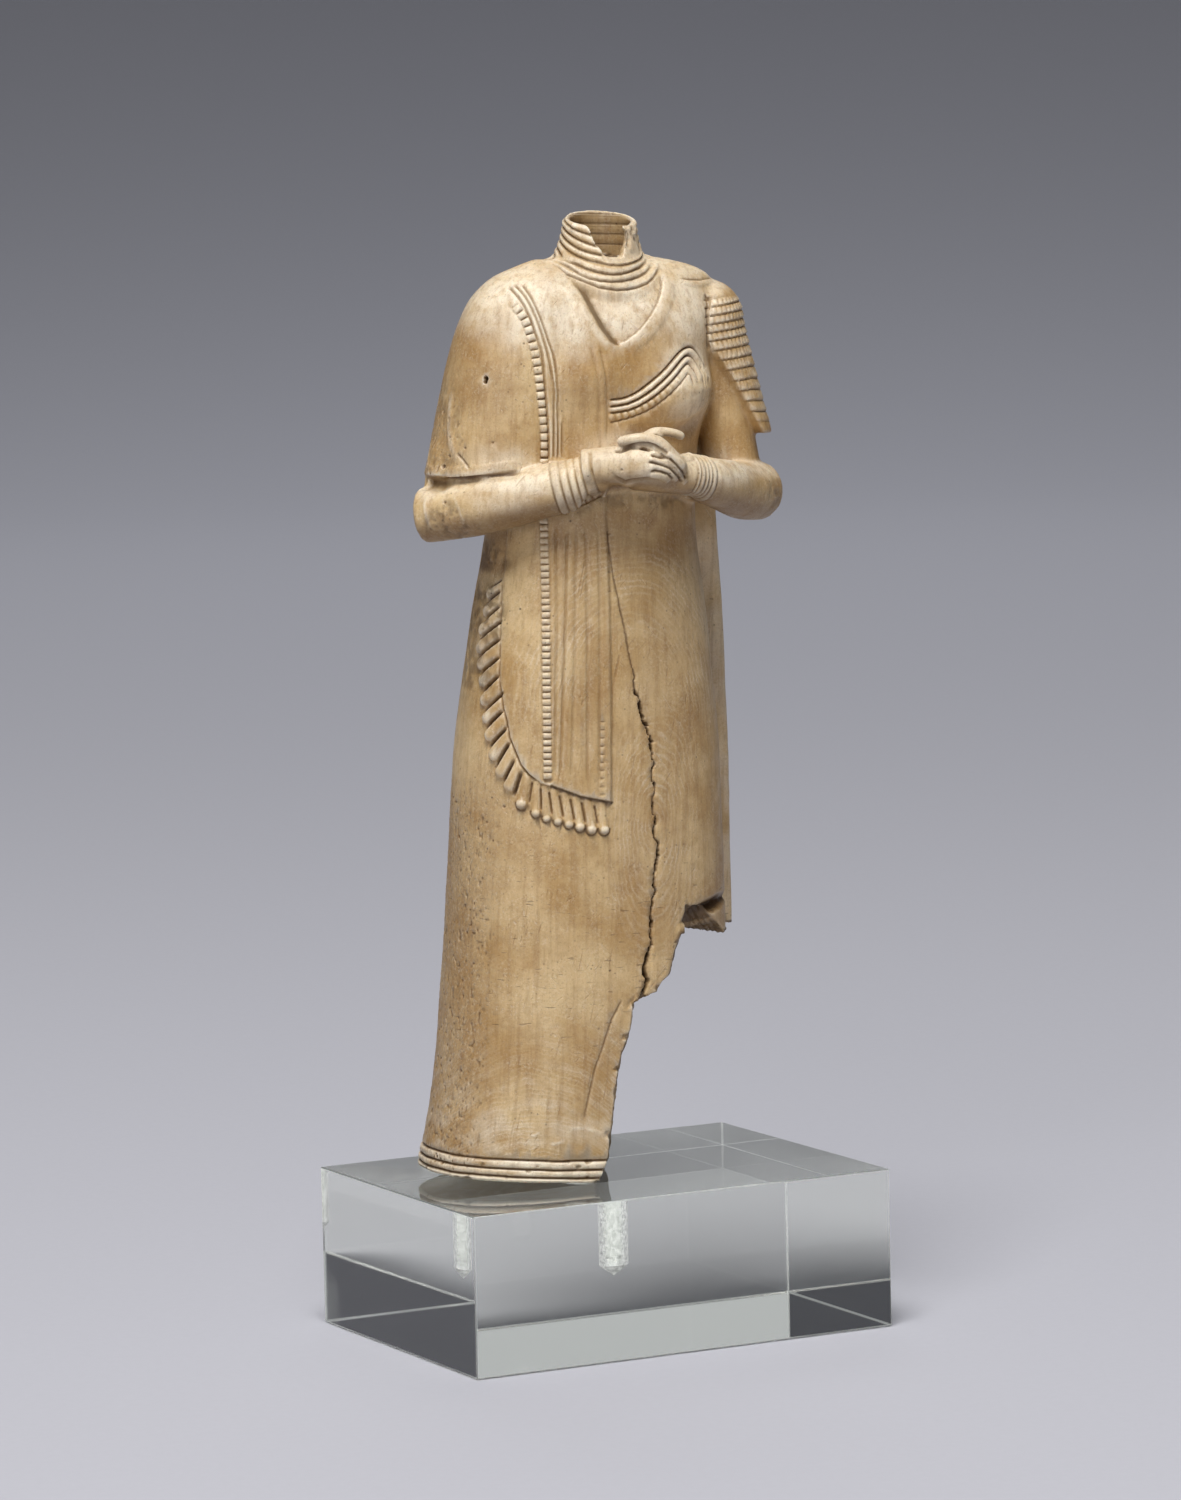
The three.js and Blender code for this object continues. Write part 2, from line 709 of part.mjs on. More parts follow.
function makeBreak() {
  const outline = new THREE.Shape();
  const edge = [
    [24, 27.0],
    [12, 27.4],
    [7.4, 27.7],
    [6.6, 25.6],
    [6.0, 23.0],
    [4.6, 21.2],
    [2.0, 20.0],
    [1.5, 17.0],
    [0.4, 13.6],
    [-0.2, 8.0],
    [-0.6, 3.0],
    [-1.6, 0.6],
    [-1.9, -2.0],
    [24, -2.0],
  ];
  edge.forEach(([x, z], i) => (i ? outline.lineTo(x, z) : outline.moveTo(x, z)));
  const depth = 50;
  const front = 12.6;
  const geometry = new THREE.ExtrudeGeometry(outline, { depth, bevelEnabled: false });
  geometry.rotateX(Math.PI / 2).translate(0, depth / 2, 0);
  const skew = 0.31; // the break runs back and to the left of the figurine
  const shear = new THREE.Matrix4().set(1, skew, 0, skew * front, 0, 1, 0, 0, 0, 0, 1, 0, 0, 0, 0, 1);
  geometry.applyMatrix4(shear);
  const spall = new THREE.BoxGeometry(12, 9, 6);
  spall.rotateX(-38 * degree).translate(14.4, -11.4, 27.6);
  return [solid(geometry), solid(spall)];
}

// The drilled seat of the rod in the foot, upright in the block's frame

function makeSeat() {
  const long = rod.inFigurine + touchGap + 3;
  const seat = new THREE.CylinderGeometry(hole.radius, hole.radius, long, 16);
  seat.rotateX(Math.PI / 2).translate(0, 0, long / 2 - 3);
  seat.applyMatrix4(new THREE.Matrix4().makeRotationY(-stance.lean));
  return solid(seat);
}

function makeFigurine() {
  const raised = [
    makeMantle(),
    makeCape(),
    makeSleeve(),
    ...makeArms(),
    ...makeHands(),
    makeNeck(),
    makeShawl(),
    ...makeBorder(),
    ...makeFringe(),
    ...makeSideFringe(),
    ...makeBreastBorder(),
  ];
  const removed = [makeSocket(), makeNotch(), makeNeckline(), ...makeBreak(), makeSeat()];
  const joined = raised.reduce((body, part) => body.add(part), makeRobe());
  return removed.reduce((body, part) => body.subtract(part), joined);
}

// Rod and block

function makeRod() {
  const bottom = hole.coneTop + touchGap;
  const top = block.height + stance.lift + rod.inFigurine;
  const profile = [
    [0, bottom],
    [rod.radius - rod.chamfer, bottom],
    [rod.radius, bottom + rod.chamfer],
    [rod.radius, top - rod.chamfer],
    [rod.radius - rod.chamfer, top],
    [0, top],
  ].map(([x, y]) => new THREE.Vector2(x, y));
  return new THREE.LatheGeometry(profile, 16).rotateX(Math.PI / 2);
}

function makeBlock() {
  const outline = new THREE.Shape();
  const halfLength = block.length / 2 - block.edge;
  const halfDepth = block.depth / 2 - block.edge;
  outline.moveTo(-halfLength, -halfDepth);
  outline.lineTo(halfLength, -halfDepth);
  outline.lineTo(halfLength, halfDepth);
  outline.lineTo(-halfLength, halfDepth);
  outline.closePath();
  const body = new THREE.ExtrudeGeometry(outline, {
    depth: block.height - 2 * block.edge,
    bevelThickness: block.edge,
    bevelSize: block.edge,
    bevelSegments: 1,
  });
  body.translate(0, 0, block.edge);
  const profile = [
    [0, hole.coneBottom],
    [hole.radius, hole.coneTop],
    [hole.radius, block.height + 2],
    [0, block.height + 2],
  ].map(([x, y]) => new THREE.Vector2(x, y));
  const bore = new THREE.LatheGeometry(profile, 16).rotateX(Math.PI / 2);
  bore.translate(hole.x, hole.y, 0);
  return solid(body).subtract(solid(bore));
}

// Materials and scene graph

const ivory = new THREE.MeshStandardMaterial({ color: 0xd8c39c, roughness: 0.5, metalness: 0 });
const acrylic = new THREE.MeshStandardMaterial({
  color: 0xe4e8e8,
  roughness: 0.05,
  metalness: 0,
  transparent: true,
  opacity: 0.25,
});
const frosted = acrylic.clone();
frosted.opacity = 0.4;

const object = new THREE.Group();

const blockMesh = new THREE.Mesh(geometryOf(makeBlock()), acrylic);
blockMesh.name = "block";
object.add(blockMesh);

const rodMesh = new THREE.Mesh(makeRod(), frosted);
rodMesh.name = "rod";
rodMesh.position.set(hole.x, hole.y, 0);
object.add(rodMesh);

const onRod = new THREE.Group();
onRod.position.set(hole.x, hole.y, block.height + stance.lift);
onRod.rotation.z = stance.turn;
object.add(onRod);

const figurineMesh = new THREE.Mesh(geometryOf(makeFigurine()), ivory);
figurineMesh.name = "figurine";
figurineMesh.rotation.y = stance.lean;
onRod.add(figurineMesh);

export default object;
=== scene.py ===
"""A standing female figurine of carved ivory on a clear acrylic mount, for Blender 4.5.

Lengths in this file are in millimetres unless a name ends in _m. The figurine is carved in a frame of
its own: the origin is where the rod's axis meets the plane of the hem, +X is the figurine's left and
its front is turned towards -Y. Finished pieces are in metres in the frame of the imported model.
"""

import math

import bmesh
import bpy
import numpy as np
from bpy.props import FloatProperty, FloatVectorProperty, IntProperty
from mathutils import Matrix, Vector


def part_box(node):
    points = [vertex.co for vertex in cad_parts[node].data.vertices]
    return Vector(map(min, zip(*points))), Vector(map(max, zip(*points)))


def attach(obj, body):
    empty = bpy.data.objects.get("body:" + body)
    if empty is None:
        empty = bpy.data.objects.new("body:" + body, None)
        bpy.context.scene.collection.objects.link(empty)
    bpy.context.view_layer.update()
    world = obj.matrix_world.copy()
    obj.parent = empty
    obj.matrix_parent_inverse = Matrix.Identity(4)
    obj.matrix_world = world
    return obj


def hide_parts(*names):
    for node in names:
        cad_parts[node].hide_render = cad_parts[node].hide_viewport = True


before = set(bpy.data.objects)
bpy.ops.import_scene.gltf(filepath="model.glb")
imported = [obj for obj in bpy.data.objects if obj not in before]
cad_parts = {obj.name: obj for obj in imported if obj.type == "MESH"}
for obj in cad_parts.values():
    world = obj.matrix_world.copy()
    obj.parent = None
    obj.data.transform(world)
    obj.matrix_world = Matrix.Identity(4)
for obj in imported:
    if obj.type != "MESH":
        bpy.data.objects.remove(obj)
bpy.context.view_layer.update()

bl_info = {
    "name": "Carved ivory figurine",
    "version": (1, 0, 0),
    "blender": (4, 5, 0),
    "location": "View3D > Sidebar > Figurine",
    "description": "Carves a standing ivory figurine and sets it on a clear acrylic mount",
    "category": "Add Mesh",
}

BLOCK_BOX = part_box("block")
FIGURINE_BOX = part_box("figurine")
MM = 0.001

# Mount: the block's drilled hole and the rod in it

HOLE = {"x": -2.4, "y": 1.2, "radius": 1.8, "cone_bottom": 6.9, "cone_top": 8.15}
ROD = {"radius": 1.5, "chamfer": 0.5, "in_figurine": 12.0}
TOUCH_GAP = 0.3
STANCE = {"lift": 0.6, "turn": math.radians(-10.0), "lean": math.radians(2.6)}
BLOCK_TOP = 18.0
# Height of the hem's middle, where the figurine's own frame has its origin
HEM_HEIGHT = BLOCK_TOP + STANCE["lift"]

# Body sections: height, then the reach from the axis to the right, left, front and back, and squareness
ROBE_SECTIONS = [
    (0.0, 18.5, 18.5, 13.4, 12.6, 2.3),
    (10.0, 17.0, 17.0, 12.8, 12.0, 2.3),
    (26.0, 16.0, 16.2, 12.3, 11.6, 2.3),
    (46.0, 15.4, 15.1, 11.8, 11.0, 2.25),
    (60.0, 13.95, 13.5, 11.3, 10.2, 2.2),
    (76.0, 12.0, 11.6, 10.1, 9.2, 2.1),
    (90.0, 12.8, 12.2, 9.4, 9.0, 2.3),
    (95.0, 13.2, 13.2, 8.4, 8.7, 2.3),
    (99.0, 11.8, 14.1, 6.3, 7.3, 2.2),
    (101.2, 8.6, 13.0, 4.8, 5.6, 2.1),
    (102.4, 6.4, 10.2, 3.9, 4.4, 2.0),
    (103.2, 3.4, 5.6, 2.4, 3.0, 2.0),
]
CAPE_SECTIONS = [
    (78.0, 13.7, 8.0, 9.0, 8.6, 2.3),
    (84.0, 12.55, 8.0, 8.7, 8.6, 2.3),
    (90.0, 11.4, 8.0, 8.3, 8.4, 2.3),
    (94.0, 10.4, 8.0, 7.5, 7.9, 2.2),
    (97.5, 9.0, 8.0, 6.5, 7.0, 2.1),
    (100.2, 6.6, 7.2, 4.8, 5.4, 2.0),
    (101.8, 3.3, 5.4, 2.9, 3.5, 2.0),
    (102.6, 1.2, 3.0, 1.3, 1.8, 2.0),
]
CAPE = {"x": -6.0, "y": -0.4, "edge": 78.1, "rise": 0.11}
# The mantle's outer edge: height and x
MANTLE_REACH = [(0, 19.5), (27, 18.85), (46, 18.0), (64, 16.8), (75, 15.7), (98, 13.4)]
MANTLE = {"front": 2.0, "back": 9.5, "bottom": 20.0, "top": 98.0}
# Breasts: x, height, spread, rise
BREASTS = [(-7.0, 88.6, 4.2, 0.9), (-2.6, 89.6, 2.6, 0.6), (6.8, 88.0, 4.0, 1.9), (10.4, 88.6, 3.6, 1.0)]
NECK = {
    "x": 0.15,
    "radius": 4.15,
    "rim": 107.1,
    "root": 101.0,
    "root_front": 6.1,
    "root_side": 6.4,
    "root_back": 4.9,
    "tilt_root": 0.364,
    "tilt_rim": 0.231,
}
SOCKET = {"radius": 3.4, "floor": 102.6}


# Section measures


def measure(rows, column, z):
    """One measure of a table of sections at each height, on a monotone cubic through its rows."""
    heights = np.array([row[0] for row in rows], float)
    values = np.array([row[column] for row in rows], float)
    spans = np.diff(heights)
    slopes = np.diff(values) / spans
    before, after = slopes[:-1], slopes[1:]
    steady = before * after > 0
    tangents = np.empty(len(values))
    tangents[0], tangents[-1] = slopes[0], slopes[-1]
    tangents[1:-1] = np.where(steady, 2 * before * after / np.where(steady, before + after, 1), 0)
    z = np.clip(z, heights[0], heights[-1])
    i = np.clip(np.searchsorted(heights, z, side="right") - 1, 0, len(spans) - 1)
    t = (z - heights[i]) / spans[i]
    return (
        (2 * t**3 - 3 * t**2 + 1) * values[i]
        + (t**3 - 2 * t**2 + t) * spans[i] * tangents[i]
        + (3 * t**2 - 2 * t**3) * values[i + 1]
        + (t**3 - t**2) * spans[i] * tangents[i + 1]
    )


def reach(rows, angle, z):
    """How far a rounded-oval section reaches at an angle from the front about its axis."""
    side, ahead = np.sin(angle), np.cos(angle)
    wide = np.where(side > 0, measure(rows, 2, z), measure(rows, 1, z))
    deep = np.where(ahead > 0, measure(rows, 3, z), measure(rows, 4, z))
    square = measure(rows, 5, z)
    return (np.abs(side / wide) ** square + np.abs(ahead / deep) ** square) ** (-1 / square)


def robe_reach(angle, z):
    """The robe's reach, with the breasts."""
    plain = reach(ROBE_SECTIONS, angle, z)
    rise = 0
    for x, height, spread, swell in BREASTS:
        away = np.hypot(plain * np.sin(angle) - x, z - height) / spread
        rise = rise + swell * np.exp(-1.4 * away * away)
    return plain + np.where(np.cos(angle) > 0, rise, 0)


def rows_of(x, y, z):
    """Places as rows of x, y and z."""
    return np.stack(np.broadcast_arrays(x, y, z), axis=-1)


def robe_point(angle, z):
    """The place on the robe at an angle from the front and a height."""
    far = robe_reach(angle, z)
    return rows_of(far * np.sin(angle), -far * np.cos(angle), z)


def cape_point(angle, z):
    """The place on the shoulder cape at an angle about the cape's own axis and a height."""
    far = reach(CAPE_SECTIONS, angle, z)
    return rows_of(CAPE["x"] + far * np.sin(angle), CAPE["y"] - far * np.cos(angle), z)


def front_point(x, z):
    """The place on the front of the dress at a given x and height, on the cape where that stands out."""
    x, z = np.broadcast_arrays(np.asarray(x, float), np.asarray(z, float))
    low = np.full(x.shape, math.radians(-88))
    high = np.full(x.shape, math.radians(88))
    for _ in range(24):
        middle = (low + high) / 2
        short = robe_point(middle, z)[..., 0] < x
        low = np.where(short, middle, low)
        high = np.where(short, high, middle)
    place = robe_point((low + high) / 2, z)
    wide = np.where(x < CAPE["x"], measure(CAPE_SECTIONS, 1, z), measure(CAPE_SECTIONS, 2, z))
    share = np.abs(x - CAPE["x"]) / wide
    square = measure(CAPE_SECTIONS, 5, z)
    y = CAPE["y"] - measure(CAPE_SECTIONS, 3, z) * (1 - np.clip(share, 0, 0.999) ** square) ** (1 / square)
    on_cape = (z > CAPE["edge"]) & (share < 0.999) & (y < place[..., 1])
    place[..., 0] = x
    place[..., 1] = np.where(on_cape, y, place[..., 1])
    return place


# Mesh helpers


def turn_of(count):
    """Angles round a full circle."""
    return np.arange(count) * (2 * math.pi / count)


def loft(rings):
    """A closed skin: a circle of vertices extruded from ring to ring, with both ends filled."""
    shell = bmesh.new()
    made = bmesh.ops.create_circle(shell, cap_ends=True, radius=1, segments=len(rings[0]))
    loop = list(made["verts"])
    for vert, place in zip(loop, rings[0]):
        vert.co = place
    edges = list(shell.edges)
    for ring in rings[1:]:
        made = bmesh.ops.extrude_edge_only(shell, edges=edges)
        fresh = {item for item in made["geom"] if isinstance(item, bmesh.types.BMVert)}
        grown = []
        for vert in loop:
            grown.append(next(e.other_vert(vert) for e in vert.link_edges if e.other_vert(vert) in fresh))
        for vert, place in zip(grown, ring):
            vert.co = place
        edges = [e for e in made["geom"] if isinstance(e, bmesh.types.BMEdge) and fresh.issuperset(e.verts)]
        loop = grown
    bmesh.ops.contextual_create(shell, geom=edges)
    bmesh.ops.recalc_face_normals(shell, faces=shell.faces)
    return shell


def curve_through(points, count):
    """Places and directions along a smooth curve through a few points, evenly by their order."""
    points = np.asarray(points, float)
    padded = np.vstack([2 * points[0] - points[1], points, 2 * points[-1] - points[-2]])
    share = np.linspace(0, len(points) - 1, count)
    i = np.minimum(share.astype(int), len(points) - 2)
    t = (share - i)[:, None]
    a, b, c, d = (padded[i + k] for k in range(4))
    slope, bend, twist = c - a, 2 * a - 5 * b + 4 * c - d, 3 * b - a - 3 * c + d
    place = 0.5 * (2 * b + slope * t + bend * t**2 + twist * t**3)
    along = 0.5 * (slope + 2 * bend * t + 3 * twist * t**2)
    return place, along / np.linalg.norm(along, axis=1, keepdims=True)


def limb(stations, rows=24, columns=28, ends=(0.0, 0.0), up=(0.0, 0.0, 1.0)):
    """A rounded limb through stations of x, y, z, half-width and half-height, with rounded ends."""
    table = np.asarray(stations, float)
    places, ways = curve_through(table[:, :3], rows)
    share = np.linspace(0, 1, rows)
    numbers = np.linspace(0, 1, len(table))
    sizes = np.stack([np.interp(share, numbers, table[:, k]) for k in (3, 4)], axis=1)
    round_ends = np.ones(rows)
    for end, part in zip(ends, (share, 1 - share)):
        if end > 0:
            taken = (1 - part / end).clip(0, 1) ** 2.2
            round_ends = np.minimum(round_ends, np.sqrt(np.clip(1 - taken, 0.04, 1)))
    upright = np.asarray(up, float)
    rings = []
    for place, way, size, shrink in zip(places, ways, sizes, round_ends):
        side = np.cross(way, upright)
        side /= np.linalg.norm(side)
        rise = np.cross(side, way)
        angle = turn_of(columns)[:, None]
        rings.append(place + shrink * (size[0] * np.cos(angle) * side + size[1] * np.sin(angle) * rise))
    return loft(rings)


def prism(outline, low_y, high_y, lean=0.0, pivot_y=0.0):
    """A solid that runs from front to back behind an outline drawn in x and z, and may slant sideways."""
    shell = bmesh.new()
    corners = [shell.verts.new((x, low_y, z)) for x, z in outline]
    face = shell.faces.new(corners)
    made = bmesh.ops.extrude_face_region(shell, geom=[face])
    moved = [item for item in made["geom"] if isinstance(item, bmesh.types.BMVert)]
    bmesh.ops.translate(shell, verts=moved, vec=(0, high_y - low_y, 0))
    for vert in shell.verts:
        vert.co.x += lean * (vert.co.y - pivot_y)
    bmesh.ops.recalc_face_normals(shell, faces=shell.faces)
    return shell


def cylinder(radius, depth, segments, matrix):
    """A closed round bar about a frame's own upright axis, with its middle at the frame's origin."""
    shell = bmesh.new()
    bmesh.ops.create_cone(
        shell, cap_ends=True, segments=segments, radius1=radius, radius2=radius, depth=depth, matrix=matrix
    )
    return shell


def smooth_shaded(mesh):
    """Shades all of the mesh's faces smooth."""
    mesh.polygons.foreach_set("use_smooth", np.ones(len(mesh.polygons), bool))
    return mesh


def mesh_from(shells, name):
    """One mesh from several closed skins."""
    whole = bmesh.new()
    for shell in shells:
        part = bpy.data.meshes.new("part")
        shell.to_mesh(part)
        shell.free()
        whole.from_mesh(part)
        bpy.data.meshes.remove(part)
    mesh = bpy.data.meshes.new(name)
    whole.to_mesh(mesh)
    whole.free()
    return mesh


def with_modifiers(mesh, add):
    """The mesh after the modifiers that add() puts on an object of it. The old mesh is removed."""
    name = mesh.name
    thing = bpy.data.objects.new("working", mesh)
    bpy.context.scene.collection.objects.link(thing)
    add(thing)
    depsgraph = bpy.context.evaluated_depsgraph_get()
    result = bpy.data.meshes.new_from_object(thing.evaluated_get(depsgraph))
    bpy.data.objects.remove(thing)
    bpy.data.meshes.remove(mesh)
    result.name = name
    return result


def remeshed(mesh, voxel):
    """One skin round everything in the mesh."""

    def add(thing):
        modifier = thing.modifiers.new("skin", "REMESH")
        modifier.mode = "VOXEL"
        modifier.voxel_size = voxel
        modifier.adaptivity = 0

    return with_modifiers(mesh, add)


def cut(mesh, cutters):
    """The mesh with the cutters' solids taken away."""
    tools = []
    for number, shell in enumerate(cutters):
        tool = bpy.data.objects.new(f"tool_{number}", mesh_from([shell], "tool"))
        bpy.context.scene.collection.objects.link(tool)
        tools.append(tool)

    def add(thing):
        for tool in tools:
            modifier = thing.modifiers.new(tool.name, "BOOLEAN")
            modifier.operation = "DIFFERENCE"
            modifier.solver = "MANIFOLD"
            modifier.object = tool

    result = with_modifiers(mesh, add)
    for tool in tools:
        spent = tool.data
        bpy.data.objects.remove(tool)
        bpy.data.meshes.remove(spent)
    return result


def thinned(mesh, triangles):
    """The mesh with no more than this many triangles, fewest where it is flattest."""
    mesh.calc_loop_triangles()
    share = min(1.0, triangles / len(mesh.loop_triangles))

    def add(thing):
        thing.modifiers.new("triangles", "TRIANGULATE")
        modifier = thing.modifiers.new("thin", "DECIMATE")
        modifier.ratio = share

    return with_modifiers(mesh, add)


def vectors_of(items, name):
    """One vector of each of a mesh's vertices or faces, as the rows of an array."""
    values = np.empty(len(items) * 3, np.float32)
    items.foreach_get(name, values)
    return values.reshape(-1, 3)


def places_of(mesh):
    """The mesh's vertices as an array."""
    return vectors_of(mesh.vertices, "co").astype(float)


def set_places(mesh, places):
    """Moves the mesh's vertices."""
    mesh.vertices.foreach_set("co", places.astype(np.float32).ravel())
    mesh.update()


def normals_of(mesh):
    """The mesh's vertex normals as an array."""
    return vectors_of(mesh.vertex_normals, "vector").astype(float)


class Neighbours:
    """The edges of a mesh, for averages over each vertex's neighbours."""

    def __init__(self, mesh):
        ends = np.empty(len(mesh.edges) * 2, np.int32)
        mesh.edges.foreach_get("vertices", ends)
        ends = ends.reshape(-1, 2)
        self.count = len(mesh.vertices)
        self.here = np.concatenate([ends[:, 0], ends[:, 1]])
        self.there = np.concatenate([ends[:, 1], ends[:, 0]])
        self.degree = np.maximum(np.bincount(self.here, minlength=self.count), 1)

    def mean(self, values):
        """The average of the neighbours' values."""
        if values.ndim == 1:
            return np.bincount(self.here, values[self.there], self.count) / self.degree
        return np.stack([self.mean(values[:, k]) for k in range(values.shape[1])], axis=1)


def softened(places, near, rounds):
    """The places after rounds of smoothing, each half of the way to the neighbours' average."""
    for _ in range(rounds):
        places = places + 0.5 * (near.mean(places) - places)
    return places


def fade(value, start, end):
    """From 0 at start to 1 at end, smoothly."""
    t = np.clip((value - start) / (end - start), 0, 1)
    return t * t * (3 - 2 * t)


def read_off(table, value, known=0, wanted=1):
    """One column of a table at values of another column, in straight lines between its rows."""
    return np.interp(value, [row[known] for row in table], [row[wanted] for row in table])


# Body solids


def make_robe():
    """The body in its robe, from the hem to the neck."""
    heights = np.concatenate([np.arange(0, 96, 1.5), np.linspace(96, 103.2, 17)])
    angle = turn_of(120)
    return loft([robe_point(angle, z) for z in heights])


def make_cape():
    """The shawl over the right shoulder, which ends in a slanting lower edge."""
    heights = np.concatenate([np.arange(78, 96, 1.2), np.linspace(96, 102.5, 14)])
    angle = turn_of(80)
    rings = []
    for row, z in enumerate(heights):
        ring = cape_point(angle, z)
        edge = CAPE["edge"] + np.maximum(0, ring[:, 0] + 19) * CAPE["rise"]
        ring[:, 2] = np.maximum(ring[:, 2], edge + 0.1 * row) if row else edge
        rings.append(ring)
    return loft(rings)


def make_mantle():
    """The mantle behind the body, which shows as a narrow band at the left side."""
    rings = []
    for z in np.arange(MANTLE["bottom"], MANTLE["top"] + 0.1, 2.0):
        far = float(read_off(MANTLE_REACH, z))
        deep = min(MANTLE["back"], float(measure(ROBE_SECTIONS, 4, z)) - 0.6)
        front = MANTLE["front"]
        outline = [
            (0, front - 1),
            (far - 3, front),
            (far - 1.1, front + 0.1),
            (far - 0.3, front + 0.4),
            (far, front + 1.2),
            (far - 0.2, front + 2.6),
            (far - 2.0, deep * 0.72),
            (far - 5.5, deep * 0.95),
            (0, deep),
        ]
        rings.append([(x, y, z) for x, y in outline])
    return loft(rings)


SLEEVE_DEPTH = 5.0
# A place on the plane that cuts the sleeve off, and the way that the plane faces
SLEEVE_END = (12.1, -4.0, 92.7)
SLEEVE_SLOPE = (1.45, 0.75, 1.0)


def sleeve_axis(z):
    """The left sleeve's middle and its half-width across the body, at a height."""
    share = np.clip((96.0 - z) / 18.6, 0, 1)
    return 12.75 + 5.1 * share, 0.2 - 0.8 * share, 4.5 + 0.15 * share


def make_sleeve():
    """The left sleeve, cut off by a plane that slants from the breast down to the outer elbow."""
    angle = turn_of(48)
    rings = []
    for z in np.concatenate([np.linspace(100.7, 96.2, 9), np.arange(95.4, 82.4, -1.2)]):
        cap = math.sqrt(max(1 - max((z - 96.2) / 4.6, 0) ** 2, 0.04))
        x, y, wide = sleeve_axis(z)
        rings.append(rows_of(x + wide * cap * np.cos(angle), y + SLEEVE_DEPTH * cap * np.sin(angle), z))
    shell = loft(rings[::-1])
    everything = list(shell.verts) + list(shell.edges) + list(shell.faces)
    away = -Vector(SLEEVE_SLOPE).normalized()
    bmesh.ops.bisect_plane(
        shell, geom=everything, plane_co=SLEEVE_END, plane_no=away, clear_outer=True, dist=1e-5
    )
    bmesh.ops.holes_fill(shell, edges=[e for e in shell.edges if e.is_boundary], sides=0)
    bmesh.ops.recalc_face_normals(shell, faces=shell.faces)
    return shell


LEFT_UPPER_ARM = [(12.8, 0.2, 96, 3.4, 3.7), (14, 0, 90, 3.5, 3.9), (16.8, -1, 77.4, 3.0, 3.2)]
LEFT_FOREARM = [
    (20.4, -0.6, 76.7, 3.0, 3.3),
    (16.0, -4.8, 77.0, 3.1, 3.3),
    (11.4, -9.4, 78.0, 2.7, 2.8),
    (6.4, -12.6, 79.0, 2.4, 2.5),
]
RIGHT_UPPER_ARM = [(-14.4, 0.0, 85, 3.0, 3.6), (-16.4, -1.0, 80, 3.2, 3.6), (-17.4, -1.8, 75, 3.0, 3.2)]
RIGHT_FOREARM = [
    (-20.9, -0.9, 73.7, 2.85, 3.05),
    (-15.6, -5.4, 74.9, 2.95, 3.2),
    (-9.4, -9.4, 76.8, 2.8, 3.0),
    (-2.4, -12.6, 78.9, 2.5, 2.7),
]
# The ivory left standing between the forearms and the waist
ARM_WEB = [
    (-12.5, -5.6, 75.6, 3.2, 2.2), (-4, -8.6, 78.4, 3.2, 2.0), (4, -9.3, 79.4, 3.4, 2.3),
    (11.5, -6.4, 77.6, 3.2, 2.2),
]
# What fills the space between the right forearm and the cape's lower edge
ELBOW_FILL = [(-18.6, -0.4, 76.8, 2.3, 2.3), (-16.2, -2.8, 77.5, 2.6, 2.4), (-13.0, -4.6, 78.3, 2.9, 2.6)]


def make_arms():
    """Both arms, and the ivory left standing round them."""
    return [
        limb(ELBOW_FILL),
        limb(LEFT_UPPER_ARM, up=(0, -1, 0)),
        limb(LEFT_FOREARM, ends=(0.1, 0)),
        limb(RIGHT_UPPER_ARM, up=(0, -1, 0)),
        limb(RIGHT_FOREARM, ends=(0.035, 0)),
        limb(ARM_WEB),
    ]


BACK_OF_HAND = [
    (-5.4, -12.6, 79.6, 2.0, 2.2),
    (-2.6, -13.6, 79.9, 2.2, 2.3),
    (0.2, -14.2, 80.1, 2.4, 2.4),
    (2.9, -14.2, 79.9, 2.3, 2.4),
    (5.2, -13.2, 79.3, 1.9, 2.2),
]
UNDER_HAND = [
    (7.6, -12.4, 78.9, 2.0, 2.4),
    (4.8, -13.2, 78.6, 2.0, 2.3),
    (1.6, -13.6, 78.2, 1.9, 1.9),
    (-0.8, -13.6, 78.0, 1.5, 1.5),
]
# The two thumbs: points along each, then its radius at both ends
RIGHT_THUMB = (
    [(0.9, -14.6, 83.2), (1.9, -15.0, 83.9), (3.2, -15.15, 84.0), (4.6, -15.05, 83.75), (5.7, -14.8, 83.3)],
    0.5, 0.6,
)
LEFT_THUMB = (
    [
        (-2.2, -14.75, 82.75), (-0.9, -15.05, 83.0), (0.3, -15.3, 83.15), (1.5, -15.5, 83.1),
        (2.6, -15.75, 82.6), (3.6, -15.75, 81.6), (4.7, -15.5, 80.5), (5.8, -14.8, 79.4),
    ],
    0.6, 0.95,
)
# Fingertips of the lower hand: x, height and radius
LOWER_TIPS = [(-0.9, 77.9, 0.62), (0.6, 78.2, 0.55), (2.1, 78.6, 0.5)]


def tube(points, first, last, columns=20, rows=34):
    """A round-ended roll, such as a finger, with its radius at both ends."""
    sizes = np.linspace(first, last, len(points))
    stations = [(x, y, z, size, size) for (x, y, z), size in zip(points, sizes)]
    return limb(stations, rows=rows, columns=columns, ends=(0.08, 0.1), up=(0.05, 0.1, 1.0))


def make_hands():
    """The clasped hands, with both thumbs and the lower fingertips."""
    shells = [limb(BACK_OF_HAND, ends=(0, 0.1)), limb(UNDER_HAND, ends=(0, 0.2))]
    for points, first, last in (RIGHT_THUMB, LEFT_THUMB):
        shells.append(tube(points, first, last))
    for x, z, size in LOWER_TIPS:
        points = [(x - 0.5, -14.6, z), (x + 0.1, -15.0, z + 0.1), (x + 0.7, -14.7, z + 0.1)]
        shells.append(tube(points, size, size))
    return shells


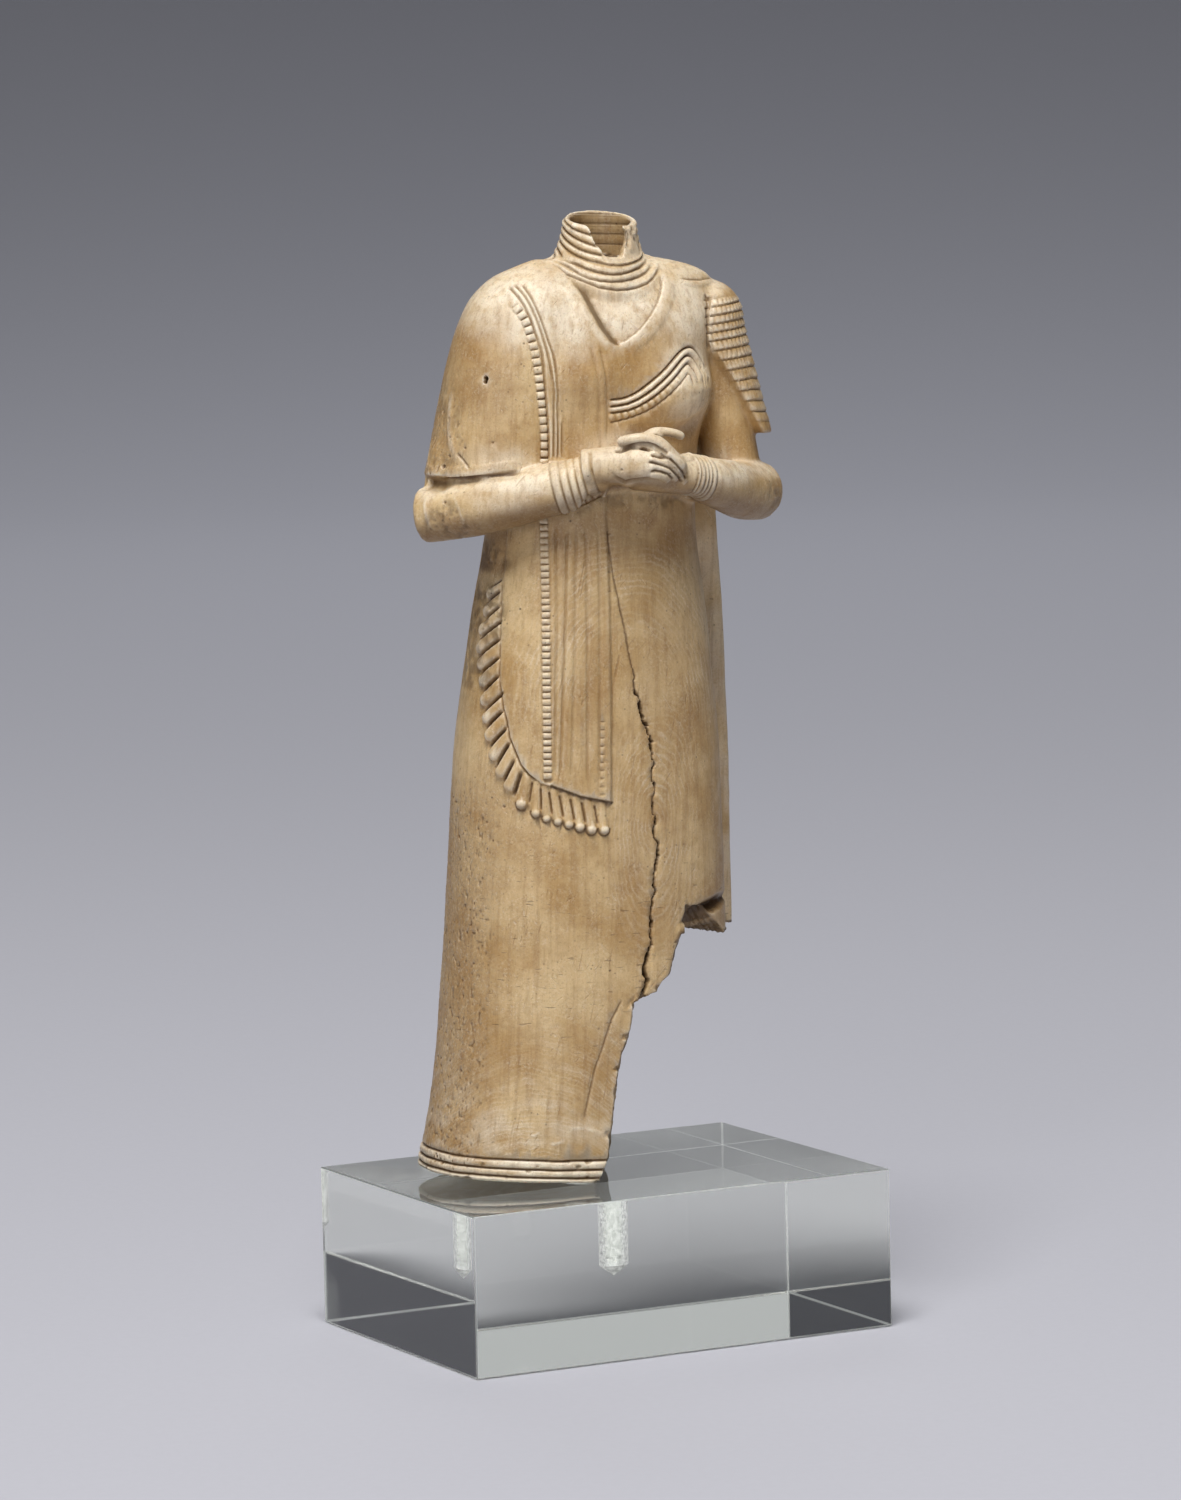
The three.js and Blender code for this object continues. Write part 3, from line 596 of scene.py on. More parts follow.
def make_neck():
    """The neck, which widens to its root and has a slanting rim."""
    angle = turn_of(72)
    rings = []
    for share in np.linspace(0, 1, 28):
        flare = (1 - share) ** 1.9
        back = np.sin(angle) > 0
        deep = np.where(back, NECK["root_back"], NECK["root_front"])
        x = NECK["x"] + (NECK["radius"] + (NECK["root_side"] - NECK["radius"]) * flare) * np.cos(angle)
        y = (NECK["radius"] + (deep - NECK["radius"]) * flare) * np.sin(angle) - 0.6 * (1 - share)
        tilt = NECK["tilt_root"] + (NECK["tilt_rim"] - NECK["tilt_root"]) * share
        height = NECK["root"] + (NECK["rim"] - NECK["root"]) * share
        rings.append(rows_of(x, y, height + y * tilt + 0.04 * share * x))
    return loft(rings)


# Cutters


# The part of the skirt that is broken off, as x and height at the front, how far its face slants
# sideways on its way back, and the y at which the outline holds
BREAK_OUTLINE = [
    (26, 26.2), (12, 27.0), (7.4, 27.6), (6.66, 25.8), (6.0, 23.0), (5.2, 22.25), (4.56, 21.15),
    (2.97, 20.6), (1.9, 19.8), (1.57, 17.0), (0.44, 13.6), (0.1, 11.4), (-0.23, 8.0), (-0.57, 4.7),
    (-0.69, 2.8), (-1.5, 0.8), (-2.6, -2.0), (26, -2.0),
]
BREAK_SKEW = 0.31
BREAK_FRONT = -12.6
# How far the cutters of the neck reach above its rim
ABOVE_RIM = 4


def make_socket():
    """The round socket in the neck, for the lost head."""
    depth = NECK["rim"] + ABOVE_RIM - SOCKET["floor"]
    middle = Matrix.Translation((NECK["x"], 0, SOCKET["floor"] + depth / 2))
    return cylinder(SOCKET["radius"], depth, 72, middle)


def make_seat():
    """The rod's seat in the foot, with some air round the rod."""
    below = 3
    depth = ROD["in_figurine"] + TOUCH_GAP + below
    upright = Matrix.Rotation(-STANCE["lean"], 4, "Y") @ Matrix.Translation((0, 0, depth / 2 - below))
    return cylinder(HOLE["radius"], depth, 48, upright)


def make_spall():
    """The chip broken off the front edge over the break."""
    shell = bmesh.new()
    place = Matrix.Translation((14.4, -11.4, 27.6)) @ Matrix.Rotation(math.radians(-38), 4, "X")
    bmesh.ops.create_cube(shell, size=1, matrix=place @ Matrix.Diagonal((12, 9, 6, 1)))
    return shell


# The notch in the neck's front below the rim, as x and height
NOTCH = [
    (-2.7, 107.0), (-2.2, 106.0), (-1.9, 105.3), (-1.85, 104.8), (-1.2, 103.85), (-0.6, 103.15),
    (-0.1, 102.95), (1.3, 102.95), (1.66, 103.9), (2.02, 104.8), (2.0, 105.6), (1.75, 106.2), (1.55, 107.0),
]


def make_cutters():
    """Everything that is missing: the break, a chip, the socket and its notch, and the rod's seat."""
    top = NECK["rim"] + ABOVE_RIM
    notch = [(-2.75, top), *NOTCH, (1.5, top)]
    return [
        prism(BREAK_OUTLINE, -26, 26, lean=BREAK_SKEW, pivot_y=BREAK_FRONT),
        make_spall(),
        make_socket(),
        prism(notch, -8, 0.5),
        make_seat(),
    ]


# Noise and profiles


NOISE_TABLE = np.random.default_rng(7).random(4096)


def noise(places, size, seed=0):
    """Smooth random values from -1 to 1 with lumps of the given size, which may differ by axis."""
    scaled = places / np.asarray(size, float)
    cell = np.floor(scaled).astype(np.int64)
    part = scaled - cell
    part = part * part * (3 - 2 * part)
    total = np.zeros(len(places))
    for corner in range(8):
        step = np.array([corner & 1, corner >> 1 & 1, corner >> 2 & 1])
        spot = cell + step
        mixed = spot[:, 0] * 73856093 ^ spot[:, 1] * 19349663 ^ spot[:, 2] * 83492791 ^ (seed * 2654435)
        weight = np.prod(np.where(step, part, 1 - part), axis=1)
        total += weight * NOISE_TABLE[mixed & 4095]
    return 2 * total - 1


def dome(distance, half_width):
    """A rounded rise across a strip: 1 in its middle and 0 from its half-width on."""
    return np.sqrt(np.clip(1 - (distance / half_width) ** 2, 0, 1))


def notch_shape(distance, half_width):
    """A cut's profile: 1 in its middle and 0 from its half-width on."""
    return np.clip(1 - (distance / half_width) ** 2, 0, 1) ** 1.5


# Carved relief


class Carving:
    """The blank's surface while relief is carved in it: its places, its outward directions, each place's
    rise, and the shares of stains and painted shade, of bleaching and painted highlight, of fracture and of
    rough skin that the ivory shows."""

    def __init__(self, places, outward):
        self.places = places
        self.outward = outward
        for name in ("rise", "dark", "broken", "bleach", "stain", "plain", "grain"):
            setattr(self, name, np.zeros(len(places)))
        self.x, self.y, self.z = places.T
        self.angle = np.arctan2(self.x, -self.y)
        self.robe_gap = np.hypot(self.x, self.y) - robe_reach(self.angle, self.z)
        cape_angle = np.arctan2(self.x - CAPE["x"], -(self.y - CAPE["y"]))
        cape_far = np.hypot(self.x - CAPE["x"], self.y - CAPE["y"])
        self.cape_gap = np.where(self.z > 78, cape_far - reach(CAPE_SECTIONS, cape_angle, self.z), 9.0)
        self.cape_gap = np.where(self.z > 102, 9.0, self.cape_gap)
        self.on_robe = 1 - fade(np.abs(self.robe_gap), 0.35, 0.8)
        self.on_cape = 1 - fade(np.abs(self.cape_gap), 0.35, 0.8)
        self.on_dress = np.maximum(self.on_robe, self.on_cape)
        self.faces_front = fade(-outward[:, 1], 0.0, 0.3)

    def along(self, route, margin=1.6, layer=1.4):
        """The places near a route on the surface: their numbers, how far they are from it, to which
        side of it (positive to the right of its way, seen from outside) and how far along it."""
        route = np.asarray(route, float)
        near = np.all((self.places > route.min(0) - margin) & (self.places < route.max(0) + margin), axis=1)
        chosen = np.nonzero(near)[0]
        places, outward = self.places[chosen], self.outward[chosen]
        away = np.full(len(chosen), 1e9)
        side = np.zeros(len(chosen))
        length = np.zeros(len(chosen))
        layer_gap = np.full(len(chosen), 1e9)
        done = 0.0
        for start, end in zip(route[:-1], route[1:]):
            way = end - start
            span = np.linalg.norm(way)
            way = way / span
            arm = places - start
            lift = (arm * outward).sum(1)
            flat = arm - outward * lift[:, None]
            ahead = np.clip(flat @ way, 0, span)
            rest = flat - ahead[:, None] * way
            rest -= outward * (rest * outward).sum(1)[:, None]
            distance = np.linalg.norm(rest, axis=1)
            across = np.cross(way, outward)
            closer = distance < away
            away = np.where(closer, distance, away)
            side = np.where(closer, (rest * across).sum(1), side)
            length = np.where(closer, done + ahead, length)
            layer_gap = np.where(closer, np.abs(lift), layer_gap)
            done += span
        kept = (away < margin) & (layer_gap < layer)
        return chosen[kept], away[kept], side[kept], length[kept], done

    def away_from(self, place):
        """How far every place lies from one of them."""
        return np.linalg.norm(self.places - np.array(place), axis=1)

    def at_least(self, name, value, chosen=slice(None)):
        """Lifts one of the measures to a value where it is lower."""
        measures = getattr(self, name)
        measures[chosen] = np.maximum(measures[chosen], value)

    def streak(self, name, route, margin, share, near, far):
        """Marks a strip along a route that fades out between two distances from it."""
        chosen, away, _, _, _ = self.along(route, margin=margin)
        self.at_least(name, share * (1 - fade(away, near, far)), chosen)

    def strip(self, route, half_width, taper):
        """The places in a strip along a route, and how full the strip is at each place's length."""
        chosen, away, _, length, total = self.along(route, margin=half_width + 0.1)
        ends = fade(np.minimum(length, total - length), 0, taper) if taper else 1.0
        return chosen, away, ends

    def groove(self, route, half_width, depth, dark=0.5, taper=0.0):
        """Cuts a line along a route, shallower towards its ends over the taper's length."""
        chosen, away, ends = self.strip(route, half_width, taper)
        self.rise[chosen] -= depth * ends * notch_shape(away, half_width)
        self.at_least("dark", dark * ends * notch_shape(away, half_width * 1.1), chosen)

    def ridge(self, route, half_width, height, taper=0.0):
        """Raises a rounded cord along a route."""
        chosen, away, ends = self.strip(route, half_width, taper)
        self.rise[chosen] += height * ends * dome(away, half_width)


def on_front(pairs):
    """A route on the front of the dress through pairs of x and height."""
    table = np.asarray(pairs, float)
    return front_point(table[:, 0], table[:, 1])


def smooth_route(pairs, step=0.8):
    """The pairs of x and height with rounded turns between them."""
    table = np.asarray(pairs, float)
    length = np.linalg.norm(np.diff(table, axis=0), axis=1).sum()
    places, _ = curve_through(np.pad(table, ((0, 0), (0, 1))), max(int(length / step), len(table)))
    return places[:, :2]


def midway(first, second, count):
    """A route of so many places that runs midway between two others."""
    picked = [route[np.linspace(0, len(route) - 1, count).astype(int)] for route in (first, second)]
    return (picked[0] + picked[1]) / 2


# The shawl's border above and below the forearms and the cords beside it, as x and height
UPPER_BORDER = [
    (-12.0, 98.3), (-11.35, 97.3), (-10.75, 96.4), (-10.35, 95.5), (-9.95, 93.9), (-9.72, 92.7),
    (-9.48, 91.0), (-9.28, 89.3), (-9.1, 87.7), (-8.92, 86.0), (-8.78, 84.5), (-8.7, 82.9), (-8.68, 80.2),
]
LOWER_BORDER = [(-8.1, 73.6), (-8.1, 69.0), (-8.14, 60.0), (-8.1, 52.0), (-8.0, 45.1)]
CAPE_LINES = [
    [
        (-11.7, 99.64), (-10.76, 98.06), (-10.02, 96.22), (-9.45, 94.27), (-8.98, 92.61), (-8.75, 90.43),
        (-8.6, 87.7), (-8.31, 83.8), (-8.19, 80.4),
    ],
    [
        (-11.12, 99.9), (-10.2, 98.4), (-9.31, 96.1), (-8.68, 93.94), (-8.12, 91.5), (-7.77, 88.8),
        (-7.63, 87.1), (-7.63, 83.8), (-7.63, 80.4),
    ],
    [
        (-10.3, 99.9), (-9.51, 98.1), (-8.77, 95.9), (-8.13, 93.7), (-7.56, 91.8), (-7.44, 89.3),
        (-7.29, 87.1), (-7.17, 83.8), (-7.17, 80.4),
    ],
]


def carve_border(work):
    """The ladder of small bars down the shawl's edge, with the plain cords beside it."""
    for pairs, pitch, cut_depth in ((UPPER_BORDER, 0.93, 0.3), (LOWER_BORDER, 0.745, 0.26)):
        route = on_front(smooth_route(pairs))
        half = 0.44
        chosen, away, _, length, _ = work.along(route, margin=1.0)
        wave = np.abs((length / pitch) % 1.0 - 0.5)
        bars = notch_shape(wave, 0.17)
        band = 1 - fade(away, half - 0.08, half + 0.1)
        fresh = fade(length, 0.3, 2.5) if pairs is UPPER_BORDER else 1.0
        worn = fresh * (1 + 0.35 * noise(work.places[chosen], 2.2, 41))
        work.rise[chosen] += worn * band * (0.12 * dome(wave - 0.5, 0.42) - 0.75 * cut_depth * bars)
        # Dark in the cuts, as dirt and as the painted shade under each bar; the bars are painted pale, as
        # wear and as highlight.
        work.at_least("dark", 0.5 * worn * band * bars, chosen)
        work.at_least("bleach", 0.18 * band * (1 - bars), chosen)
        edge = notch_shape(away - half - 0.06, 0.14)
        work.rise[chosen] -= 0.07 * fresh * edge
        work.at_least("dark", 0.16 * edge, chosen)
    for number, pairs in enumerate(CAPE_LINES):
        route = on_front(smooth_route(pairs))
        work.groove(route, 0.2, 0.26, dark=0.4, taper=0.7)
        if number:
            before, here = smooth_route(CAPE_LINES[number - 1], 1.0), smooth_route(pairs, 1.0)
            middle = midway(before, here, min(len(before), len(here)))
            work.ridge(on_front(middle), 0.3, 0.1, taper=1.0)
    work.groove(on_front([(-6.7, 85.2), (-6.7, 80.4)]), 0.18, 0.16, dark=0.3, taper=1.0)


# The front panel's edges, as height and x, and its foot, as x and height
SIDE_EDGE = [
    (42.5, -7.6), (44.75, -8.91), (45.48, -9.9), (46.55, -10.69), (48.4, -11.34), (49.48, -11.71),
    (51.45, -11.95), (52.64, -12.2), (55.82, -12.47), (60.24, -12.3), (64.66, -12.05), (66.9, -11.8),
    (78, -10.7),
]
FRONT_EDGE = [(39, -0.8), (54, -1.02), (69.5, -1.35), (74, -1.6), (90, -1.6)]
PANEL_FOOT = [(-12.0, 45.5), (-7.69, 44.23), (-4.52, 43.12), (-0.88, 42.44), (0.5, 42.3)]
# Folds down the front panel: x at two heights, and depth
PLEATS = [
    (-7.15, -7.3, 0.16), (-6.27, -6.66, 0.2), (-5.25, -5.5, 0.1), (-3.91, -3.83, 0.14), (-2.55, -2.48, 0.1),
]


def carve_panel(work):
    """The shawl's front panel, with its folds and small stitches."""
    x, z = work.x, work.z
    left = read_off(SIDE_EDGE, z)
    right = read_off(FRONT_EDGE, z)
    foot = read_off(PANEL_FOOT, x)
    inside = fade(x, left - 0.06, left + 0.2) * (1 - fade(x, right - 0.45, right + 0.1))
    inside = inside * fade(z, foot - 0.05, foot + 0.15)
    mask = work.on_robe * fade(-work.outward[:, 1], 0.1, 0.4) * (z < 80)
    work.rise += 0.4 * inside * mask
    # The groove under the panel's foot is painted fully dark, as the shadow under the panel's edge.
    foot_route = on_front([(-7.6, 44.25), (-4.52, 43.12), (-0.9, 42.44)])
    work.groove(foot_route, 0.24, 0.34, dark=1.0)
    edge = on_front([(across, height) for height, across in FRONT_EDGE[:4]])
    work.groove(edge, 0.18, 0.06, dark=0.1)
    work.streak("plain", edge, 0.6, 0.75, 0.3, 0.6)
    for high_x, low_x, depth in PLEATS:
        slope = (high_x - low_x) / 12.2
        heights = np.arange(44.6, 73.6, 2.4)
        pairs = [(low_x + slope * (height - 48.4), height) for height in heights]
        work.groove(on_front(pairs), 0.24, depth, dark=0.22, taper=2.0)
    stitches = [(-1.75, 72.3 - number * 2.1) for number in range(4)]
    stitches += [(-2.5, 51.5 - number * 0.9) for number in range(10)]
    for start, height in stitches:
        pairs = [(start, height), (start + 0.75, height + 0.04)]
        work.groove(on_front(pairs), 0.12, 0.16, dark=0.4, taper=0.3)


# The upper ends of the tassels under the panel and the middles of their beads, as x and height
TASSEL_TOPS = [
    (-10.1, 45.4), (-9.1, 44.6), (-8.35, 44.1), (-7.4, 43.75), (-6.2, 43.4), (-5.0, 43.0), (-3.7, 42.7),
    (-2.1, 42.35),
]
TASSEL_BEADS = [
    (-10.63, 42.16), (-9.2, 41.25), (-8.1, 40.7), (-6.9, 40.4), (-5.7, 40.1), (-4.5, 39.8), (-3.2, 39.5),
    (-1.75, 39.45),
]
BEAD_SIZES = [0.66, 0.56, 0.5, 0.52, 0.55, 0.58, 0.6, 0.6]
# Upper and lower ends of the cuts between the slanting tassels, as x, y and height
SIDE_CUTS = [
    ((-11.85, -4.95, 67.0), (-12.5, -2.9, 65.8)),
    ((-12.0, -5.0, 65.75), (-12.95, -2.5, 64.0)),
    ((-12.2, -5.2, 64.1), (-13.85, -2.85, 61.8)),
    ((-12.3, -6.0, 62.5), (-14.25, -2.35, 59.75)),
    ((-12.4, -5.75, 60.35), (-14.45, -2.7, 57.75)),
    ((-12.45, -6.05, 58.35), (-14.35, -3.65, 56.15)),
    ((-12.5, -6.3, 56.35), (-14.4, -4.3, 54.05)),
    ((-12.35, -7.45, 54.65), (-14.35, -5.1, 51.9)),
    ((-12.4, -7.3, 52.5), (-14.25, -5.65, 50.15)),
    ((-11.95, -7.85, 50.65), (-14.05, -6.25, 48.05)),
    ((-11.65, -8.15, 49.1), (-13.5, -7.25, 45.8)),
    ((-11.3, -8.7, 47.25), (-12.55, -8.0, 44.3)),
    ((-10.8, -9.35, 46.0), (-11.6, -8.8, 42.8)),
]


def on_robe_side(places):
    """Places moved in or out onto the robe."""
    table = np.asarray(places, float)
    angle = np.arctan2(table[:, 0], -table[:, 1])
    return robe_point(angle, table[:, 2])


def carve_fringe(work):
    """The fringe of beaded tassels under the panel and of slanting leaf-shaped ones at the side."""
    for top, bead, size in zip(TASSEL_TOPS, TASSEL_BEADS, BEAD_SIZES):
        route = on_front([top, ((top[0] + bead[0]) / 2, (top[1] + bead[1]) / 2), bead])
        chosen, away, _, length, total = work.along(route, margin=1.2)
        share = np.clip(length / total, 0, 1)
        half = 0.4 + 0.12 * share
        shown = 1 - fade(length, total - 0.5, total - 0.1)
        work.at_least("rise", (0.2 + 0.14 * share) * dome(away, half) * shown, chosen)
        centre = route[-1]
        gap = work.away_from(centre)
        close = np.nonzero(gap < size * 1.8)[0]
        ball = dome(gap[close], size)
        at_bead = close[ball > 0]
        work.at_least("rise", 0.9 * size * ball[ball > 0], at_bead)
        # The bead's upper half is painted pale, as a highlight.
        high = work.z[close] > centre[2] + 0.05
        work.at_least("bleach", (0.7 if size > 0.56 else 0.1) * (ball > 0.5) * high, close)
        # A dark ring round its lower side and its lower half are painted as the shade under the bead.
        ring = notch_shape(gap[close] - size * 1.08, 0.2) * (work.z[close] < centre[2] + 0.2)
        work.rise[close] -= 0.1 * ring
        work.at_least("dark", 0.75 * ring, close)
        low_half = (ball > 0.1) * fade(centre[2] - work.z[close], 0.05, 0.35)
        work.at_least("dark", 0.4 * low_half, close)
    # Cuts between the beaded tassels
    for first, second, low_a, low_b in zip(TASSEL_TOPS, TASSEL_TOPS[1:], TASSEL_BEADS, TASSEL_BEADS[1:]):
        top = ((first[0] + second[0]) / 2, (first[1] + second[1]) / 2 - 0.2)
        low = ((low_a[0] + low_b[0]) / 2, (low_a[1] + low_b[1]) / 2 + 0.5)
        work.groove(on_front([top, low]), 0.17, 0.26, dark=0.7, taper=0.3)
    for (high_a, low_a), (high_b, low_b) in zip(SIDE_CUTS, SIDE_CUTS[1:]):
        high = (np.array(high_a) + np.array(high_b)) / 2
        low = (np.array(low_a) + np.array(low_b)) / 2
        route = on_robe_side([high, (high + low) / 2, low])
        chosen, away, _, length, total = work.along(route, margin=1.5)
        share = np.clip(length / total, 0, 1)
        tip = np.clip((length - total + 0.75) / 0.8, 0, 1)
        height = (0.26 + 0.36 * share) * np.sqrt(np.clip(1 - (away / 0.8) ** 2 - tip**2, 0, 1))
        work.at_least("rise", height, chosen)
        worn = fade(share, 0.4, 0.75) * (1 - fade(share, 0.92, 1.0)) * (1 - fade(away, 0.2, 0.55))
        work.at_least("bleach", 0.8 * worn * fade(noise(work.places[chosen], 0.8, 42), -0.4, 0.3), chosen)
    for high, low in SIDE_CUTS:
        high, low = np.array(high), np.array(low)
        route = on_robe_side([high, (high + low) / 2, low])
        work.groove(route, 0.27, 0.42, dark=1.0, taper=0.8)
    edge = on_front([(x, z) for z, x in SIDE_EDGE[1:-1]])
    work.groove(edge, 0.17, 0.22, dark=0.5, taper=1.0)


# The neckline's cut, the fold that crosses it and the wrap's edge, as x and height
NECK_CUT = [(-4.67, 100.2), (-3.92, 98.95), (-3.21, 97.1), (-2.31, 95.14), (-1.25, 93.72), (-0.45, 93.1)]
NECK_FOLD = [
    (0.0, 93.5), (1.35, 94.3), (2.36, 95.09), (3.45, 96.19), (4.21, 97.08), (4.88, 97.96), (5.49, 99.06),
    (5.88, 100.16), (5.92, 101.15),
]
WRAP_EDGE = [
    (-2.5, 93.3), (-2.42, 92.7), (-2.12, 91.07), (-1.9, 89.4), (-1.72, 87.2), (-1.66, 84.4), (-1.75, 82.4),
]


def carve_neckline(work):
    """The slanting cut of the neckline, the rolled edge that crosses it and the wrap's edge."""
    cut_route = on_front(NECK_CUT)
    fold_route = on_front(smooth_route(NECK_FOLD))
    above = work.z - 92.0
    x_cut = read_off(NECK_CUT[::-1], work.z, 1, 0)
    x_fold = read_off(NECK_FOLD, work.z, 1, 0)
    inward = (work.x - x_cut) * 0.84
    to_fold = (x_fold - work.x) * 0.75
    front = work.on_dress * (work.y < -1) * fade(work.outward[:, 1], 0.1, -0.2)
    lowest = read_off(NECK_LINES[0], work.x, 0, 2)
    high = 1 - fade(work.z - lowest, -1.3, -0.1)
    inside = fade(to_fold, -0.02, 0.16) * fade(work.z, 93.1, 93.5) * high * front
    inside = inside * (above > 0) * (above < 11)
    depth = 0.16 + 0.72 * np.exp(-np.clip(inward, 0, None) / 2.6)
    work.rise -= depth * fade(inward, -0.05, 0.85) * inside
    # The cut's slanting face is painted dark, as shade.
    slope = fade(inward, -0.1, 0.1) * (1 - fade(inward, 0.75, 1.0)) * inside
    work.at_least("dark", 0.72 * slope)
    work.ridge(cut_route + np.array((-0.8, 0, -0.5)), 0.8, 0.14, taper=1.2)
    work.groove(fold_route, 0.15, 0.2, dark=0.6, taper=0.8)
    work.ridge(fold_route + np.array((0.75, 0, -0.45)), 0.85, 0.14, taper=1.0)
    for route in (cut_route + np.array((-0.5, 0, -0.3)), fold_route + np.array((0.4, 0, -0.25))):
        work.streak("bleach", route, 0.7, 0.75, 0.2, 0.65)
    edge = on_front(smooth_route(WRAP_EDGE))
    work.groove(edge, 0.22, 0.1, dark=0.14, taper=1.6)
    work.groove(edge + np.array((-0.95, 0, 0)), 0.3, 0.08, dark=0.12, taper=0.8)
    work.ridge(edge + np.array((-0.48, 0, 0)), 0.45, 0.08, taper=1.0)


# The lines round the left breast, from the outermost in, as x and height
BREAST_LINES = [
    [
        (-1.55, 87.2), (-0.11, 87.32), (1.01, 87.67), (2.1, 88.29), (3.29, 89.24), (4.43, 90.14),
        (5.44, 91.03), (6.64, 92.13), (7.54, 92.79), (8.38, 93.12), (9.04, 93.1), (9.68, 92.54),
        (10.37, 91.63), (11.12, 90.48), (11.4, 89.34),
    ],
    [
        (-1.55, 86.42), (1.0, 86.89), (3.2, 88.15), (5.33, 89.94), (7.2, 91.68), (8.04, 92.18),
        (8.56, 92.12), (9.28, 91.45), (9.8, 90.54), (10.3, 89.4),
    ],
    [
        (-1.54, 85.76), (1.05, 86.16), (3.24, 87.31), (5.35, 89.05), (7.2, 90.81), (7.95, 91.3),
        (8.24, 91.24), (8.9, 90.35), (9.3, 89.3),
    ],
    [
        (-1.53, 84.65), (1.06, 85.28), (3.33, 86.24), (5.39, 87.82), (7.35, 89.7), (7.97, 90.25),
        (8.3, 89.7), (8.52, 88.92),
    ],
]
# How wide, deep and dark each of these lines is cut
BREAST_CUTS = [(0.2, 0.32, 0.62), (0.2, 0.32, 0.6), (0.17, 0.26, 0.5), (0.15, 0.18, 0.3)]


def carve_breast_border(work):
    """The cords and the beaded row that frame the left breast."""
    routes = [smooth_route(pairs, 0.7) for pairs in BREAST_LINES]
    for number in range(3):
        route = on_front(midway(routes[number], routes[number + 1], 18))
        if number < 2:
            work.ridge(route, 0.36, 0.22, taper=0.8)
            work.streak("bleach", route, 0.3, 0.6, 0.1, 0.3)
        else:
            chosen, away, _, length, _ = work.along(route, margin=0.6)
            wave = np.abs((length / 0.82) % 1 - 0.5)
            beads = dome(np.hypot(away, wave * 0.82), 0.38) * (length < 9.5)
            work.rise[chosen] += 0.17 * beads
    for pairs, (half, depth, dark) in zip(routes, BREAST_CUTS):
        work.groove(on_front(pairs), half, depth, dark=dark, taper=0.6)
    # Fine folds at the breast's outer side
    for number in range(5):
        x = 9.9 + 0.42 * number
        pairs = [(x - 0.5, 93.6 - 0.5 * number), (x, 91.2 - 0.3 * number), (x + 0.1, 88.2), (x - 0.5, 85.6)]
        work.groove(on_front(pairs), 0.16, 0.08, dark=0.14, taper=1.2)
    # The hollow under the breast, and painted shade below it
    under = on_front([(0.2, 84.2), (3.4, 84.1), (6.4, 84.3), (9.0, 85.0), (11.0, 86.2)])
    work.groove(under + np.array((0, 0, -0.9)), 1.5, 0.5, dark=0.1, taper=2.0)
    work.streak("stain", under + np.array((0, 0, -1.3)), 1.8, 0.75, 0.3, 1.7)


# Heights of the cuts between the sleeve's tiers
SLEEVE_LINES = [98.85, 97.95, 96.95, 96.0, 95.05, 94.1, 92.95, 91.75, 90.5, 89.15, 87.9, 86.65, 85.4, 84.2]


def carve_sleeve(work):
    """The tiers of the left sleeve, each standing over the next, with small upright scales."""
    middle_x, middle_y, wide = sleeve_axis(work.z)
    x, y = work.x - middle_x, work.y - middle_y
    ring = np.hypot(x / wide, y / SLEEVE_DEPTH)
    # The cap narrows into the shoulder, so only what lies well to the left counts as sleeve
    mask = (1 - fade(np.abs(ring - 1), 0.1, 0.24)) * (work.z < 100.4)
    mask = mask * fade(work.x, 11.0, 11.5) * fade(work.z, 81.5, 82.5)
    mask = mask * fade((work.places - np.array(SLEEVE_END)) @ np.array(SLEEVE_SLOPE), -0.2, 0.2)
    height = work.z - 0.18 * (np.clip(work.x, 11, 17.2) - 14) - 0.1 * np.sin(work.angle * 3)
    lines = np.array(SLEEVE_LINES[::-1])
    number = np.clip(np.searchsorted(lines, height) - 1, 0, len(lines) - 2)
    part = np.clip((height - lines[number]) / (lines[number + 1] - lines[number]), 0, 1)
    inside = (height > lines[0]) & (height < lines[-1] + 0.6)
    tier = 0.15 * (1 - part) ** 1.3 - 0.06
    gap = np.minimum(np.abs(height - lines[number]), np.abs(lines[number + 1] - height))
    cut_line = notch_shape(gap, 0.17)
    work.rise += mask * inside * (tier - 0.13 * cut_line)
    work.at_least("dark", mask * inside * (0.24 + 0.12 * fade(work.z, 88, 94)) * cut_line)
    # Small scales, clearest on the upper tiers and worn to scratches on the lower ones
    turn = np.arctan2(y, x)
    count = turn * 4.7 / np.where(work.z > 92, 0.62, 0.5) + 0.5 * number
    between = np.abs((count + 0.15 * noise(work.places, 0.9, 44)) % 1 - 0.5)
    fresh = fade(work.z, 86.0, 93.5) * 0.8 + 0.2
    scale = mask * inside * fade(part, 0.05, 0.25) * (1 - fade(part, 0.8, 0.97)) * (y < 2)
    work.rise += scale * fresh * (0.1 * dome(0.5 - between, 0.5) - 0.07 - 0.05 * notch_shape(between, 0.16))
    work.at_least("dark", 0.15 * scale * fresh * notch_shape(between, 0.16))
    worn = fade(noise(work.places, 1.5, 66), -0.9, 0.2)
    work.at_least("bleach", 0.7 * scale * (1 - fade(part, 0.2, 0.9)) * worn)
    edge = [
        (12.1, -4.3, 99.6), (11.9, -4.6, 98.4), (11.6, -4.75, 96.9), (11.5, -4.75, 95.5),
        (11.6, -4.7, 93.6), (11.9, -4.4, 92.6),
    ]
    work.groove(edge, 0.3, 0.26, dark=0.5, taper=0.6)
    patch = [(8.4, -4.1, 100.7), (9.7, -3.75, 100.55), (11.1, -3.1, 100.5), (13.3, -1.0, 100.6)]
    work.groove(patch, 0.18, 0.16, dark=0.6, taper=0.8)
    work.ridge(np.array(patch) + np.array((-0.2, -0.3, -0.4)), 0.45, 0.12, taper=0.8)
    work.streak("bleach", np.array(edge) + np.array((0.55, 0.1, 0)), 0.5, 0.7, 0.1, 0.4)


